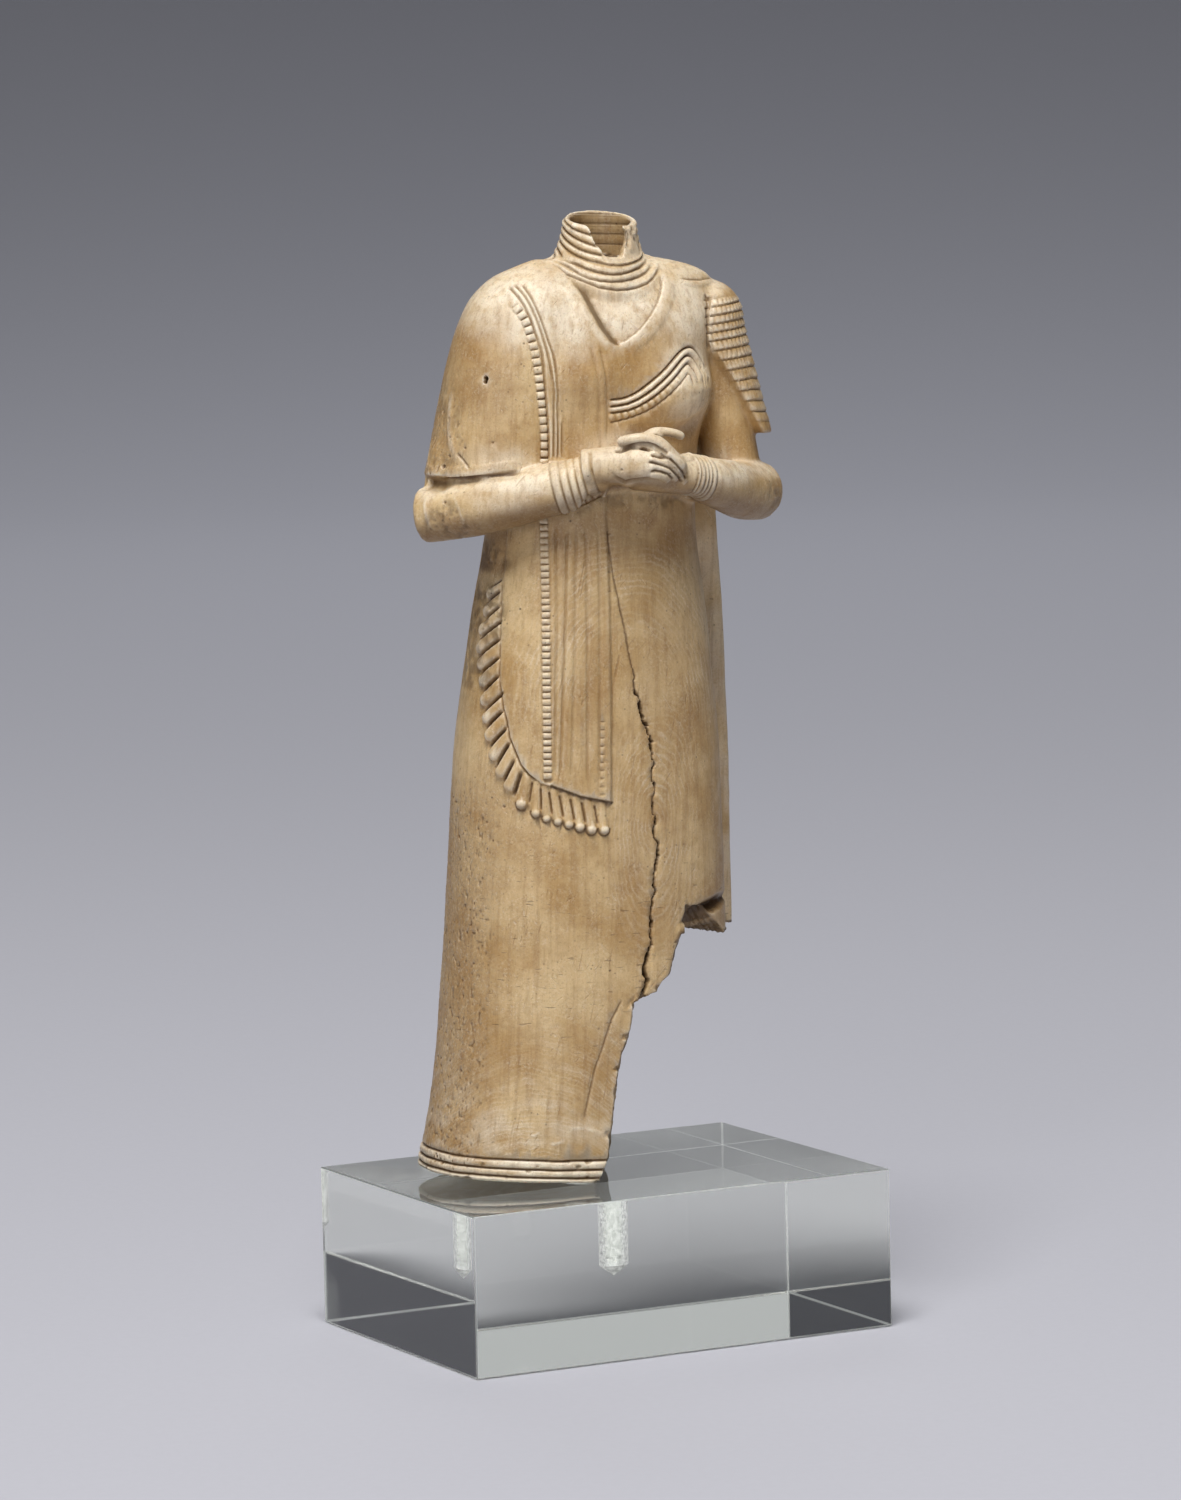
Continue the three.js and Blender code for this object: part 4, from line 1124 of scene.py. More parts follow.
# Where the bracelets' cuts cross the front of each forearm, as x
RIGHT_BRACELETS = [-9.0, -8.1, -7.25, -6.5, -5.8, -4.7]
LEFT_BRACELETS = [7.4, 8.0, 8.6, 9.1, 9.6, 10.3]


def carve_bracelets(work):
    """The rings of the bracelets, cut round both forearms."""
    for stations, cuts in ((RIGHT_FOREARM, RIGHT_BRACELETS), (LEFT_FOREARM, LEFT_BRACELETS)):
        table = np.asarray(stations, float)
        count = 60
        places, ways = curve_through(table[:, :3], count)
        share = np.linspace(0, 1, count)
        numbers = np.linspace(0, 1, len(table))
        wide = np.interp(share, numbers, table[:, 3])
        tall = np.interp(share, numbers, table[:, 4])
        low, high = places.min(0) - 4, places.max(0) + 4
        chosen = np.nonzero(np.all((work.places > low) & (work.places < high), axis=1))[0]
        spots = work.places[chosen]
        steps = np.linalg.norm(np.diff(places, axis=0), axis=1)
        reach_along = np.concatenate([[0], np.cumsum(steps)])
        gaps = ((spots[:, None, :] - places[None, ::4, :]) ** 2).sum(2)
        nearest = np.clip(gaps.argmin(1) * 4, 0, count - 1)
        arm = spots - places[nearest]
        ahead = (arm * ways[nearest]).sum(1)
        length = reach_along[nearest] + ahead
        outwards = arm - ahead[:, None] * ways[nearest]
        away = np.linalg.norm(outwards, axis=1)
        size = (wide[nearest] + tall[nearest]) / 2
        mask = (1 - fade(np.abs(away - size), 0.6, 1.2)) * (1 + 0.3 * noise(spots, 1.6, 45))
        facing = (outwards * work.outward[chosen]).sum(1) / np.maximum(away, 0.1)
        mask = mask * fade(facing, 0.6, 0.85)
        # Where on the forearm's length the front of each cut lies
        ahead_way = np.array((-0.31, -0.95, 0.5))
        across = ahead_way - (ways @ ahead_way)[:, None] * ways
        across /= np.linalg.norm(across, axis=1, keepdims=True)
        front = places + across * (wide + tall)[:, None] / 2
        order = np.argsort(front[:, 0])
        marks = np.sort(np.interp(cuts, front[order, 0], reach_along[order]))
        number = np.clip(np.searchsorted(marks, length) - 1, 0, len(marks) - 2)
        inside = (length > marks[0]) & (length < marks[-1])
        middle = (marks[number] + marks[number + 1]) / 2
        half = (marks[number + 1] - marks[number]) / 2
        rings = dome((length - middle) / half, 1.0) ** 0.8
        work.rise[chosen] += mask * np.where(inside, 0.02 + 0.11 * rings, 0)
        low = 0.4 + 0.6 * fade(-work.outward[chosen, 2], -0.6, 0.2)
        lines = np.min(np.abs(length[:, None] - marks[None, :]), axis=1)
        groove = notch_shape(lines, 0.2)
        work.rise[chosen] -= mask * 0.14 * groove * low
        work.at_least("dark", mask * 0.6 * groove * low, chosen)
        work.at_least("bleach", 0.55 * mask * inside * fade(rings, 0.6, 0.9), chosen)


# Cuts of the clasped hands, as x, y and height: between the fingers, then under the hand
FINGER_CUTS = [
    [
        (1.16, -16.5, 81.56), (2.23, -16.8, 81.36), (3.46, -16.6, 81.03), (4.23, -16.4, 80.47),
        (5.1, -16.0, 79.68), (6.08, -14.9, 78.63),
    ],
    [
        (0.92, -16.6, 80.74), (1.69, -16.7, 80.58), (2.74, -16.7, 80.31), (3.49, -16.6, 80.03),
        (4.62, -16.1, 79.13), (5.73, -14.9, 78.19),
    ],
    [
        (1.17, -16.6, 79.64), (1.7, -16.7, 79.76), (2.51, -16.8, 79.6), (3.28, -16.6, 79.37),
        (4.15, -16.1, 78.69),
    ],
]
FINGERS = [
    [
        (1.15, -16.4, 81.95), (2.2, -16.6, 81.8), (3.35, -16.6, 81.4), (4.25, -16.3, 80.75),
        (5.2, -15.9, 79.95),
    ],
    [
        (0.95, -16.6, 81.15), (2.0, -16.8, 81.0), (3.1, -16.7, 80.68), (3.95, -16.5, 80.2),
        (4.9, -16.0, 79.4), (5.9, -14.9, 78.4),
    ],
    [(0.95, -16.6, 80.2), (2.1, -16.8, 80.1), (3.0, -16.7, 79.9), (3.9, -16.4, 79.35), (4.9, -15.7, 78.5)],
    [(1.15, -16.5, 79.3), (2.2, -16.6, 79.2), (3.0, -16.5, 78.95), (3.8, -16.1, 78.4)],
]
FINGERTIPS = [
    (1.0, -16.5, 81.9), (0.8, -16.6, 81.15), (0.8, -16.6, 80.2), (1.0, -16.5, 79.3), (-2.0, -14.9, 82.8),
    (5.5, -14.8, 83.4),
]
HAND_FOOT = [
    (-3.21, -15.8, 79.74), (-2.48, -15.8, 78.86), (-1.38, -15.7, 78.31), (-0.58, -16.0, 78.55),
    (0.29, -16.2, 78.67), (1.05, -16.3, 78.79), (2.42, -16.4, 78.6),
]
THUMB_GAP = [
    (-2.56, -15.1, 82.02), (-2.0, -15.4, 81.85), (-0.85, -15.5, 82.27), (0.19, -15.8, 82.62),
    (0.98, -16.2, 82.55), (1.85, -16.4, 82.3), (2.6, -16.5, 82.0), (3.3, -16.5, 81.6),
]
THUMBS_BETWEEN = [(1.6, -15.4, 83.5), (2.6, -15.6, 83.35), (3.6, -15.7, 82.9), (4.5, -15.7, 82.4)]
WRIST_LINE = [(-4.9, -13.6, 82.3), (-5.09, -14.4, 81.31), (-5.14, -15.0, 79.69), (-4.8, -14.4, 78.0)]


def carve_hands(work):
    """The fingers and thumbs of the clasped hands, with painted highlights on their tops and painted shade
    under them.
    """
    for route in FINGERS:
        work.ridge(route, 0.5, 0.24, taper=0.3)
    for number, route in enumerate(FINGER_CUTS):
        work.groove(route, 0.2, 0.34 - 0.04 * number, dark=0.85, taper=0.3)
    work.groove(THUMB_GAP, 0.3, 0.35, dark=0.7, taper=0.3)
    work.groove(THUMBS_BETWEEN, 0.2, 0.22, dark=0.5, taper=0.5)
    work.groove(HAND_FOOT, 0.34, 0.3, dark=0.5, taper=1.6)
    work.groove(WRIST_LINE, 0.3, 0.18, dark=0.25, taper=0.8)
    # Fingertips painted pale, as wear and as highlight.
    for tip in FINGERTIPS:
        gap = work.away_from(tip)
        close = np.nonzero(gap < 1.0)[0]
        work.at_least("bleach", 0.8 * (1 - fade(gap[close], 0.3, 0.9)), close)
    # Faces of the hands turned up are painted pale, as the light from above, and their lower part brown, as
    # shade.
    hand = (work.y < -12.5) & (work.z > 77) & (work.z < 85)
    work.at_least("bleach", 0.55 * hand * fade(work.outward[:, 2], -0.3, 0.3) * (work.dark < 0.2))
    low = hand & (work.x > 1.5)
    work.at_least("stain", 0.9 * low * fade(-work.z, -79.8, -78.2))
    work.rise += 0.3 * dome(work.away_from((6.3, -13.2, 81.3)), 1.1)
    # The hands' underside, drawn in, and painted brown and dark as shade
    line = np.interp(work.x, [-2.7, 0.4, 2.2, 3.8, 6.7], [78.2, 78.2, 78.0, 77.6, 77.3])
    under = np.clip((line - work.z) / 1.9, 0, 1.2) * fade(work.robe_gap, 0.3, 1.0)
    under = under * (work.z > 73.5) * (work.y < -8)
    under = under * fade(work.x, -5.8, -4.2) * (1 - fade(work.x, 7.5, 9.5))
    work.rise -= 1.0 * under
    work.at_least("stain", np.clip(3 * under, 0, 1))
    work.at_least("dark", 0.35 * np.clip(2 * under, 0, 1))


# The necklace's upper lines: height at the neck's middle, and how steeply each rises to the back and
# to the left
RING_LINES = [
    (102.2, 0.486, 0.013), (102.9, 0.489, 0.0), (103.6, 0.459, 0.0), (104.29, 0.425, -0.027),
    (105.18, 0.44, 0.0), (106.0, 0.44, 0.0), (106.73, 0.38, 0.0), (107.6, 0.3, 0.0),
]
# Its three lowest lines across the front, as x, y and height
NECK_LINES = [
    [
        (-6.2, -2.6, 102.15), (-5.55, -3.55, 101.65), (-4.9, -4.5, 101.1), (-3.8, -5.0, 100.5),
        (-2.7, -5.4, 99.95), (-1.65, -5.8, 99.5), (-0.6, -6.0, 99.3), (0.3, -6.1, 99.2), (1.5, -6.0, 99.3),
        (2.8, -5.7, 99.55), (4.1, -5.3, 100.0), (4.95, -4.9, 100.65), (5.8, -4.1, 101.55),
        (6.35, -3.0, 102.3),
    ],
    [
        (-5.75, -1.6, 102.7), (-5.1, -2.9, 102.15), (-4.4, -3.75, 101.65), (-3.6, -4.8, 101.1),
        (-2.6, -5.4, 100.6), (-1.55, -5.7, 100.3), (-0.2, -5.9, 100.2), (0.95, -5.9, 100.3),
        (2.2, -5.6, 100.55), (3.3, -5.2, 100.95), (4.25, -4.6, 101.35), (4.85, -4.1, 101.9),
        (5.35, -3.1, 102.4),
    ],
    [
        (-5.1, -1.95, 102.9), (-4.5, -3.1, 102.5), (-3.75, -3.8, 102.15), (-2.9, -4.75, 101.7),
        (-1.95, -5.3, 101.4), (-0.85, -5.6, 101.15), (0.05, -5.7, 101.05), (1.0, -5.6, 101.1),
        (2.35, -5.2, 101.45), (3.5, -4.5, 101.85), (4.45, -3.5, 102.4), (5.2, -1.95, 103.0),
    ],
]


def ring_line(work, number):
    """The height of one of the necklace's upper lines at each place."""
    middle, slope, tilt = RING_LINES[number]
    return middle + np.where(work.y < 0, slope, 0.25) * work.y + tilt * work.x


def carve_neck(work):
    """The necklace's rings round the neck, worn away beside the broken front."""
    x = work.x - NECK["x"]
    away = np.hypot(x, work.y)
    near = (work.z > 97) & (away < 8.5) & (work.z < 109)
    lines = np.stack([ring_line(work, number) for number in range(len(RING_LINES))])
    wander = 0.04 * noise(work.places, 1.5, 46)
    over = work.z + wander - lines
    slope = NECK["tilt_root"] - NECK["tilt_rim"]
    share = work.z - NECK["root"] - NECK["tilt_root"] * work.y
    share = np.clip(share / (NECK["rim"] - NECK["root"] - slope * work.y), 0, 1)
    middle_y = work.y + 0.6 * (1 - share)
    flare = (1 - share) ** 1.9
    deep = np.where(work.y > 0, NECK["root_back"], NECK["root_front"])
    deep = NECK["radius"] + (deep - NECK["radius"]) * flare
    wide = NECK["radius"] + (NECK["root_side"] - NECK["radius"]) * flare
    beyond = np.hypot(x, middle_y) - 1 / np.sqrt(
        (x / np.maximum(away, 0.1) / wide) ** 2 + (middle_y / np.maximum(away, 0.1) / deep) ** 2
    )
    outer = fade(away, 3.65, 3.78) * near * (1 - fade(np.abs(beyond), 0.5, 1.1))
    # The lowest of these rings show at the back alone, and lines of their own take their place in front
    necklace = outer * fade(over[0], -0.05, 0.25) * np.where(over[3] > 0, 1, fade(work.y, -2.4, -0.8))
    flaked = fade(work.x, -1.1, -0.8) * fade(over[3], 0.15, 0.35) * (1 - fade(work.y, -1.8, -0.9))
    rings = necklace * (1 - flaked) * (over[-1] < 0)
    number = np.clip((over > 0).sum(0) - 1, 0, len(RING_LINES) - 2)
    spot = np.arange(len(away))
    part = over[number, spot] / (lines[number + 1, spot] - lines[number, spot])
    work.rise += rings * (0.17 * dome(part - 0.5, 0.5) - 0.08)
    gap = np.min(np.abs(over), axis=0)
    cut_line = notch_shape(gap, 0.2)
    grooved = outer * (1 - flaked) * np.where(over[3] > -0.25, 1, fade(work.y, -2.4, -0.8))
    work.rise -= grooved * 0.17 * cut_line
    work.at_least("dark", grooved * 0.62 * cut_line)
    work.at_least("bleach", rings * 0.75 * fade(part, 0.25, 0.5) * (1 - cut_line))
    # The lowest rings, which lie on the shoulders and the chest
    for route in NECK_LINES:
        work.groove(route, 0.21, 0.19, dark=0.66, taper=2.0)
    for line in NECK_LINES:
        route = np.array(line) + np.array((0, 0.1, 0.42))
        work.ridge(route, 0.38, 0.1, taper=2.0)
        work.streak("bleach", route, 0.35, 0.7, 0.1, 0.35)
    work.rise -= flaked * outer * 0.12
    rough = flaked * outer * fade(work.x, 1.9, 2.6) * fade(work.z, 103.0, 104.0)
    lumps = noise(work.places, 0.55, 3)
    work.rise += rough * (0.2 * lumps - 0.02)
    work.at_least("dark", 0.5 * rough * fade(-lumps, 0.2, 0.6))
    work.at_least("bleach", 0.6 * flaked * outer)
    work.rise += 0.3 * dome(work.away_from((-3.9, -2.3, 106.3)), 0.75)
    # Turned grooves inside the socket
    inner = (away < SOCKET["radius"] + 0.25) & (work.z > SOCKET["floor"] - 0.3) & (work.z < 108.5)
    inner = inner & (work.outward[:, 0] * x + work.outward[:, 1] * work.y < 0.3)
    fine = notch_shape(np.abs((work.z / 0.57) % 1 - 0.5), 0.2)
    strong = notch_shape(np.abs((work.z / 1.14) % 1 - 0.5), 0.14)
    work.rise[inner] -= (0.03 * fine + 0.1 * strong)[inner]
    work.at_least("dark", (0.3 + 0.12 * fine + 0.45 * strong)[inner], inner)
    work.stain[inner] = 0.5
    floor = inner & (work.z < SOCKET["floor"] + 0.6)
    work.rise[floor] += 0.45 * noise(work.places[floor], 0.6, 9)
    work.at_least("dark", 0.8, floor)


# Heights of the cuts between the hem's ridges
HEM_CUTS = [-0.35, 0.52, 1.4, 2.42]


def carve_hem(work):
    """The three ridges round the hem."""
    cuts = np.array(HEM_CUTS)
    height = work.z + 0.09 * noise(work.places, 2.2, 21)
    number = np.clip(np.searchsorted(cuts, height) - 1, 0, len(cuts) - 2)
    middle = (cuts[number] + cuts[number + 1]) / 2
    half = (cuts[number + 1] - cuts[number]) / 2
    rings = dome((height - middle) / half, 1.0)
    radial = (work.outward[:, 0] * work.x + work.outward[:, 1] * work.y) / np.hypot(work.x, work.y)
    mask = work.on_robe * fade(radial, 0.2, 0.5)
    band = (height < cuts[-1]) * 1.0
    work.rise += mask * band * (0.12 * rings)
    gap = np.min(np.abs(height[:, None] - cuts[None, 1:]), axis=1)
    lines = notch_shape(gap, 0.19)
    work.rise -= mask * 0.3 * lines
    work.at_least("dark", mask * 0.9 * lines)
    # The ridges' crests are painted pale, as wear and as highlight.
    worn = fade(rings, 0.45, 0.8) * fade(noise(work.places, (3.0, 3.0, 1.0), 34), -0.7, 0.0)
    work.at_least("bleach", 0.85 * mask * band * worn)
    # Chips out of the ridges
    chips = fade(noise(work.places, (1.1, 1.1, 0.6), 33), 0.5, 0.75) * (work.z < 2.6)
    work.rise -= mask * 0.22 * chips
    work.at_least("dark", mask * 0.4 * chips)


# The crack's course down the front: x, height, half-width and depth
CRACK = [
    (-1.49, 71.7, 0.13, 0.1), (-0.94, 67.8, 0.13, 0.1), (-0.5, 65.6, 0.13, 0.12), (-0.13, 63.8, 0.14, 0.16),
    (0.3, 62.2, 0.13, 0.12), (0.58, 60.6, 0.13, 0.16), (1, 58.7, 0.13, 0.16), (1.3, 57.2, 0.13, 0.2),
    (1.62, 55.6, 0.13, 0.26), (2.06, 53.9, 0.15, 0.6), (2.5, 52.7, 0.22, 0.9), (2.75, 52, 0.25, 1.1),
    (3.1, 51.1, 0.15, 0.8), (3.43, 50.2, 0.27, 1.1), (3.82, 48.8, 0.18, 0.9), (3.9, 46.4, 0.16, 0.8),
    (4.01, 43.8, 0.16, 0.8), (4.2, 41, 0.17, 0.9), (4.46, 38.2, 0.19, 1), (4.72, 37, 0.22, 1.1),
    (4.5, 35.4, 0.18, 1), (4.4, 33.7, 0.18, 1), (4.2, 31.4, 0.19, 1.1), (4.09, 29.2, 0.21, 1.2),
    (3.95, 27.4, 0.22, 1.3), (3.88, 25.9, 0.24, 1.4), (3.6, 25, 0.25, 1.4), (3.29, 24.2, 0.27, 1.5),
    (3.5, 23, 0.3, 1.6), (3.44, 21.9, 0.31, 1.6), (2.97, 21.2, 0.33, 1.6), (2.6, 20.3, 0.33, 1.5),
]


def carve_crack(work):
    """The long crack down the skirt, finer towards its top."""
    table = np.asarray(CRACK)
    route = on_front(table[:, :2])
    chosen, away, side, length, _ = work.along(route, margin=1.0)
    marks = np.concatenate([[0], np.cumsum(np.linalg.norm(np.diff(route, axis=0), axis=1))])
    spots = work.places[chosen]
    wander = (0.1 * noise(spots, 0.5, 5) + 0.12 * noise(spots, 1.3, 7)) * fade(length, 4, 16)
    wander += 0.24 * (fade(noise(spots, (2.0, 2.0, 0.9), 8), -0.15, 0.15) - 0.5) * fade(length, 10, 20)
    wander += 0.05 * noise(spots, 0.25, 9)
    away = np.abs(side + wander)
    half = np.interp(length, marks, table[:, 2]) * (0.85 + 0.55 * noise(spots, 0.6, 6))
    depth = np.interp(length, marks, table[:, 3])
    work.rise[chosen] -= depth * notch_shape(away, half)
    work.at_least("plain", 1 - fade(away, 0.5, 0.9), chosen)
    darkening = np.clip(1.6 * notch_shape(away, half * 1.25), 0, 1) * np.clip(0.55 + depth, 0, 1)
    work.at_least("dark", darkening, chosen)


# Small holes and dents: place, radius and depth
PITS = [
    ((-14.8, -6.4, 89.35), 0.36, 0.9),
    ((-14.85, -6.35, 88.95), 0.3, 0.8),
    ((-14.25, -7.65, 82.3), 0.22, 0.2),
    ((-16.9, -5.8, 81.6), 0.2, 0.25),
    ((-18.7, -3.8, 79.4), 0.3, 0.4),
    ((-17.3, -4.9, 80.6), 0.25, 0.3),
    ((-19.2, -6.0, 75.6), 0.22, 0.3),
    ((-2.3, -9.55, 88.9), 0.35, 0.3),
    ((2.5, -11.2, 64.8), 0.28, 0.5),
    ((-1.9, -16.0, 79.8), 0.25, 0.25),
    ((-13.1, -2.2, 59.9), 0.25, 0.4),
    ((5.2, -11.5, 56.5), 0.22, 0.3),
    ((-3.2, -12.9, 10.6), 0.35, 0.2),
    ((-12.3, -8.1, 41.8), 0.25, 0.25),
    ((-13.4, -5.8, 35.5), 0.25, 0.25),
]


# Worn edges and scratches: a route, its half-width, its rise, and how pale or dark it is
WORN_EDGES = [
    (
        [
            (-17.6, -2.7, 87.7), (-17.9, -2.9, 85.7), (-18.1, -3.5, 83.5), (-18.0, -4.4, 81.5),
            (-17.7, -5.3, 80.0),
        ],
        0.5, 0.12, 0.5,
    ),
    ([(-18.8, 1.2, 82.1), (-19.4, -0.2, 80.5), (-19.8, -1.2, 78.9)], 0.4, 0.1, 0.9),
    ([(-17.7, -5.0, 81.1), (-17.1, -5.8, 80.3), (-16.4, -6.6, 79.2)], 0.18, -0.16, -0.6),
    ([(-21.0, -4.2, 76.4), (-21.05, -4.4, 75.2), (-20.9, -4.7, 74.0), (-20.4, -4.6, 72.6)], 0.3, 0.1, 0.75),
    (
        [(-18.4, -6.4, 76.6), (-17.9, -7.3, 74.8), (-17.5, -7.4, 73.7), (-17.2, -7.2, 73.0)],
        0.22, 0.05, 0.55,
    ),
    (
        [
            (0.6, -12.5, 20.4), (-0.6, -12.5, 18.2), (-1.5, -12.6, 15.4), (-2.5, -12.6, 12.6),
            (-3.25, -12.7, 9.2), (-3.7, -12.8, 7.0),
        ],
        0.17, -0.14, -0.5,
    ),
    (
        [
            (-5.5, -12.6, 5.9), (-4.6, -12.7, 6.1), (-3.5, -12.9, 6.0), (-2.3, -13.0, 5.75),
            (-1.4, -13.0, 5.3),
        ],
        0.22, 0.04, 0.95,
    ),
    ([(-7.6, -12.3, 4.2), (-6.6, -12.5, 4.45), (-5.5, -12.7, 4.65)], 0.25, 0.05, 0.95),
    ([(-9.8, -11.5, 4.85), (-9.05, -11.7, 5.3), (-8.3, -12.0, 5.65)], 0.2, 0.04, 0.8),
    ([(-10.5, -11.2, 4.05), (-9.3, -11.7, 4.75)], 0.25, 0.04, 0.8),
]

# Brown areas on the front, stains but for the two under the forearms and hands, which are painted shade: x,
# height, half-width, half-height and strength
BROWN_STAINS_AND_SHADE = [
    # Stains on the cape, the right elbow and the chest
    (-14.5, 90.5, 4.5, 7.5, 0.8),
    (-18.9, 73.0, 2.0, 1.8, 1.0),
    (-4.0, 89.5, 4.0, 4.0, 0.6),
    (3.0, 91.5, 4.0, 2.5, 0.55),
    # Painted shade under the forearms and the hands
    (0.0, 72.0, 13.0, 4.5, 1.0),
    (-12.5, 70.0, 3.0, 3.2, 1.0),
    # Stains on the skirt and the left elbow
    (6.5, 55.0, 7.0, 16.0, 0.35),
    (-5.0, 60.0, 4.0, 14.0, 0.3),
    (-12.5, 40.0, 5.0, 14.0, 0.3),
    (4.0, 36.0, 6.0, 12.0, 0.5),
    (-15.0, 20.0, 4.0, 20.0, 0.2),
    (16.0, 34.0, 5.0, 9.0, 0.6),
    (20.6, 76.4, 1.6, 3.0, 1.0),
    (-1.0, 12.0, 3.5, 9.0, 0.5),
]


# Bleached areas, in the same way; those on the chest, shoulders, hands and forearms are also painted light,
# brighter where the light from above falls
PALE_AND_LIT_AREAS = [
    (-11.0, 97.0, 6.5, 5.5, 0.9),
    (-13.5, 80.3, 5.0, 2.4, 0.45),
    (-6.0, 97.0, 5.0, 6.5, 0.85),
    (1.0, 97.5, 6.5, 5.0, 0.95),
    (8.5, 97.5, 5.0, 5.0, 0.85),
    (8.2, 91.0, 4.5, 4.5, 0.7),
    (8.5, 86.0, 3.5, 3.0, 0.55),
    (0.5, 81.0, 6.5, 3.5, 0.8),
    (-12.5, 78.0, 8.0, 1.8, 0.8),
    (-13.5, 76.0, 4.5, 2.0, 0.45),
    (12.0, 79.6, 6.6, 2.2, 0.85),
    (-3.5, 5.5, 6.0, 1.6, 0.5),
]


def spot_share(work, spot, full=0.35):
    """How strongly an oval spot shows at each place, fading from a share of its size on."""
    x, z, wide, tall, strength = spot
    return strength * (1 - fade(np.hypot((work.x - x) / wide, (work.z - z) / tall), full, 1.1))


def skin_tones_painted_light_and_shade(work):
    """Brown areas of the skin and the bleached ones at the neck, the chest and the foot, with painted light
    on the upper body and on faces turned up, and painted shade under the arms.
    """
    # Two of these spots are painted shade under the forearms and the hands.
    for spot in BROWN_STAINS_AND_SHADE:
        work.at_least("stain", spot_share(work, spot) * (work.y < 2))
    lumps = noise(work.places, 3.2, 51) + 0.6 * noise(work.places, 1.1, 52)
    work.stain = np.clip(work.stain * (1 + 0.5 * lumps), 0, 1)
    work.at_least("stain", work.broken * (work.z > 22))
    work.at_least("dark", 0.75 * work.broken * (work.z > 24) * fade(noise(work.places, 0.9, 54), -0.9, 0.3))
    uneven = fade(lumps, -0.9, 0.4)
    # Those on the upper body also paint the stronger light that falls there.
    for spot in PALE_AND_LIT_AREAS:
        work.at_least("bleach", spot_share(work, spot) * (0.55 + 0.45 * uneven) * (work.y < 3))
    foot = (1 - fade(work.z, 6, 11)) * fade(noise(work.places, (3.0, 3.0, 0.9), 53), 0.0, 0.5)
    up = fade(work.outward[:, 2], 0.25, 0.7)
    work.at_least("bleach", 0.4 * foot * (work.z > 3))
    # Faces turned up above the waist are painted pale, as the light from above.
    work.at_least("bleach", 0.6 * up * (work.z > 70) * uneven)
    # Faces turned down under the arms are painted brown and dark, as shade.
    arms = (work.z > 70) & (work.z < 84) & (work.robe_gap > 0.8)
    beneath = arms * fade(-work.outward[:, 2], 0.1, 0.7)
    work.at_least("stain", 0.95 * beneath)
    work.at_least("dark", 0.42 * beneath)
    mantle = fade(work.robe_gap, 0.4, 0.9) * (work.x > 12) * (1 - fade(work.z, 70, 73))
    work.at_least("bleach", 0.5 * mantle * uneven * (0.3 + 0.7 * work.faces_front))
    work.bleach = work.bleach * (1 - 0.8 * work.dark)


# Dark mottled areas of the front, dirt on the elbows and the cape and painted shade under the forearms and
# hands: x, height, half-width, half-height and strength
DIRT_AND_SHADE = [
    # Dirt on the right elbow
    (-19.0, 73.6, 2.3, 2.3, 0.95),
    (-20.4, 72.6, 1.2, 1.6, 0.8),
    # Painted shade under the right forearm
    (-17.0, 72.2, 3.6, 1.5, 0.95),
    (-13.4, 73.2, 2.6, 1.2, 0.6),
    # Dirt on the left elbow and the cape
    (20.4, 75.6, 1.2, 2.6, 0.75),
    (-18.9, 79.5, 1.2, 1.6, 0.5),
    (-17.8, 86.5, 0.9, 3.6, 0.5),
    # Painted shade at the top of the fringe, under the right forearm
    (-12.6, 69.2, 1.8, 2.2, 0.9),
    (-13.0, 63.0, 1.7, 4.6, 0.9),
    (-13.8, 56.5, 1.4, 5.0, 0.7),
    # Painted shade under the hands
    (0.0, 76.2, 4.0, 1.1, 0.6),
    (5.5, 76.0, 3.5, 1.2, 0.7),
    # Dirt on the left elbow
    (19.6, 76.2, 0.9, 2.4, 0.7),
]


def carve_dirt_and_shade(work):
    """Mottled dirt on the elbows and the cape, and mottled painted shade under the right forearm, at the
    top of the fringe and under the hands.
    """
    mottled = fade(noise(work.places, 0.9, 61) + 0.8 * noise(work.places, 0.35, 62), -0.7, 0.7)
    for spot in DIRT_AND_SHADE:
        shown = spot_share(work, spot, 0.45) * (work.y < 2) * mottled
        work.at_least("dark", 0.75 * shown)
        work.rise -= 0.1 * shown


# Lower edge of the cape over the forearm, as distance across the view and height
CAPE_EDGE = [(-18.6, 78.2), (-15.9, 78.1), (-14.3, 78.25), (-12.6, 78.5), (-10.4, 78.85), (-8.2, 79.2)]


# The shares of x and y in a place's distance to the right as the photograph shows it
VIEW_ACROSS = (0.952, -0.306)


def across_view(work):
    """How far to the right each place lies as the photograph shows it."""
    return VIEW_ACROSS[0] * work.x + VIEW_ACROSS[1] * work.y


def carve_cape_edge(work):
    """The cape's lower edge, which stands over the forearm, and the painted shade under it."""
    across = across_view(work)
    edge = read_off(CAPE_EDGE, across)
    gap = work.z - edge
    mask = (1 - fade(across, -9.2, -7.6)) * (work.y < 4) * (work.x < -6)
    mask = mask * fade(-work.outward[:, 1], -0.3, 0.2)
    left = 1 - fade(across, -17.2, -15.2)
    cut_line = notch_shape(np.abs(gap), 0.28)
    # Under the edge the skin is sunk in and painted dark as shade, most at the left.
    under = fade(-gap, 0.0, 0.3) * (1 - fade(-gap, 0.5, 0.9 + 0.9 * left))
    work.rise += mask * (0.16 * dome(gap - 0.7, 0.7) - 0.35 * cut_line - (0.12 + 0.75 * left) * under)
    work.at_least("dark", mask * np.maximum(0.7 * cut_line, (0.15 + 0.5 * left) * under))
    worn = fade(noise(work.places, 1.2, 63), -0.6, 0.3)
    work.at_least("bleach", 0.6 * mask * dome(gap - 0.45, 0.4) * worn)


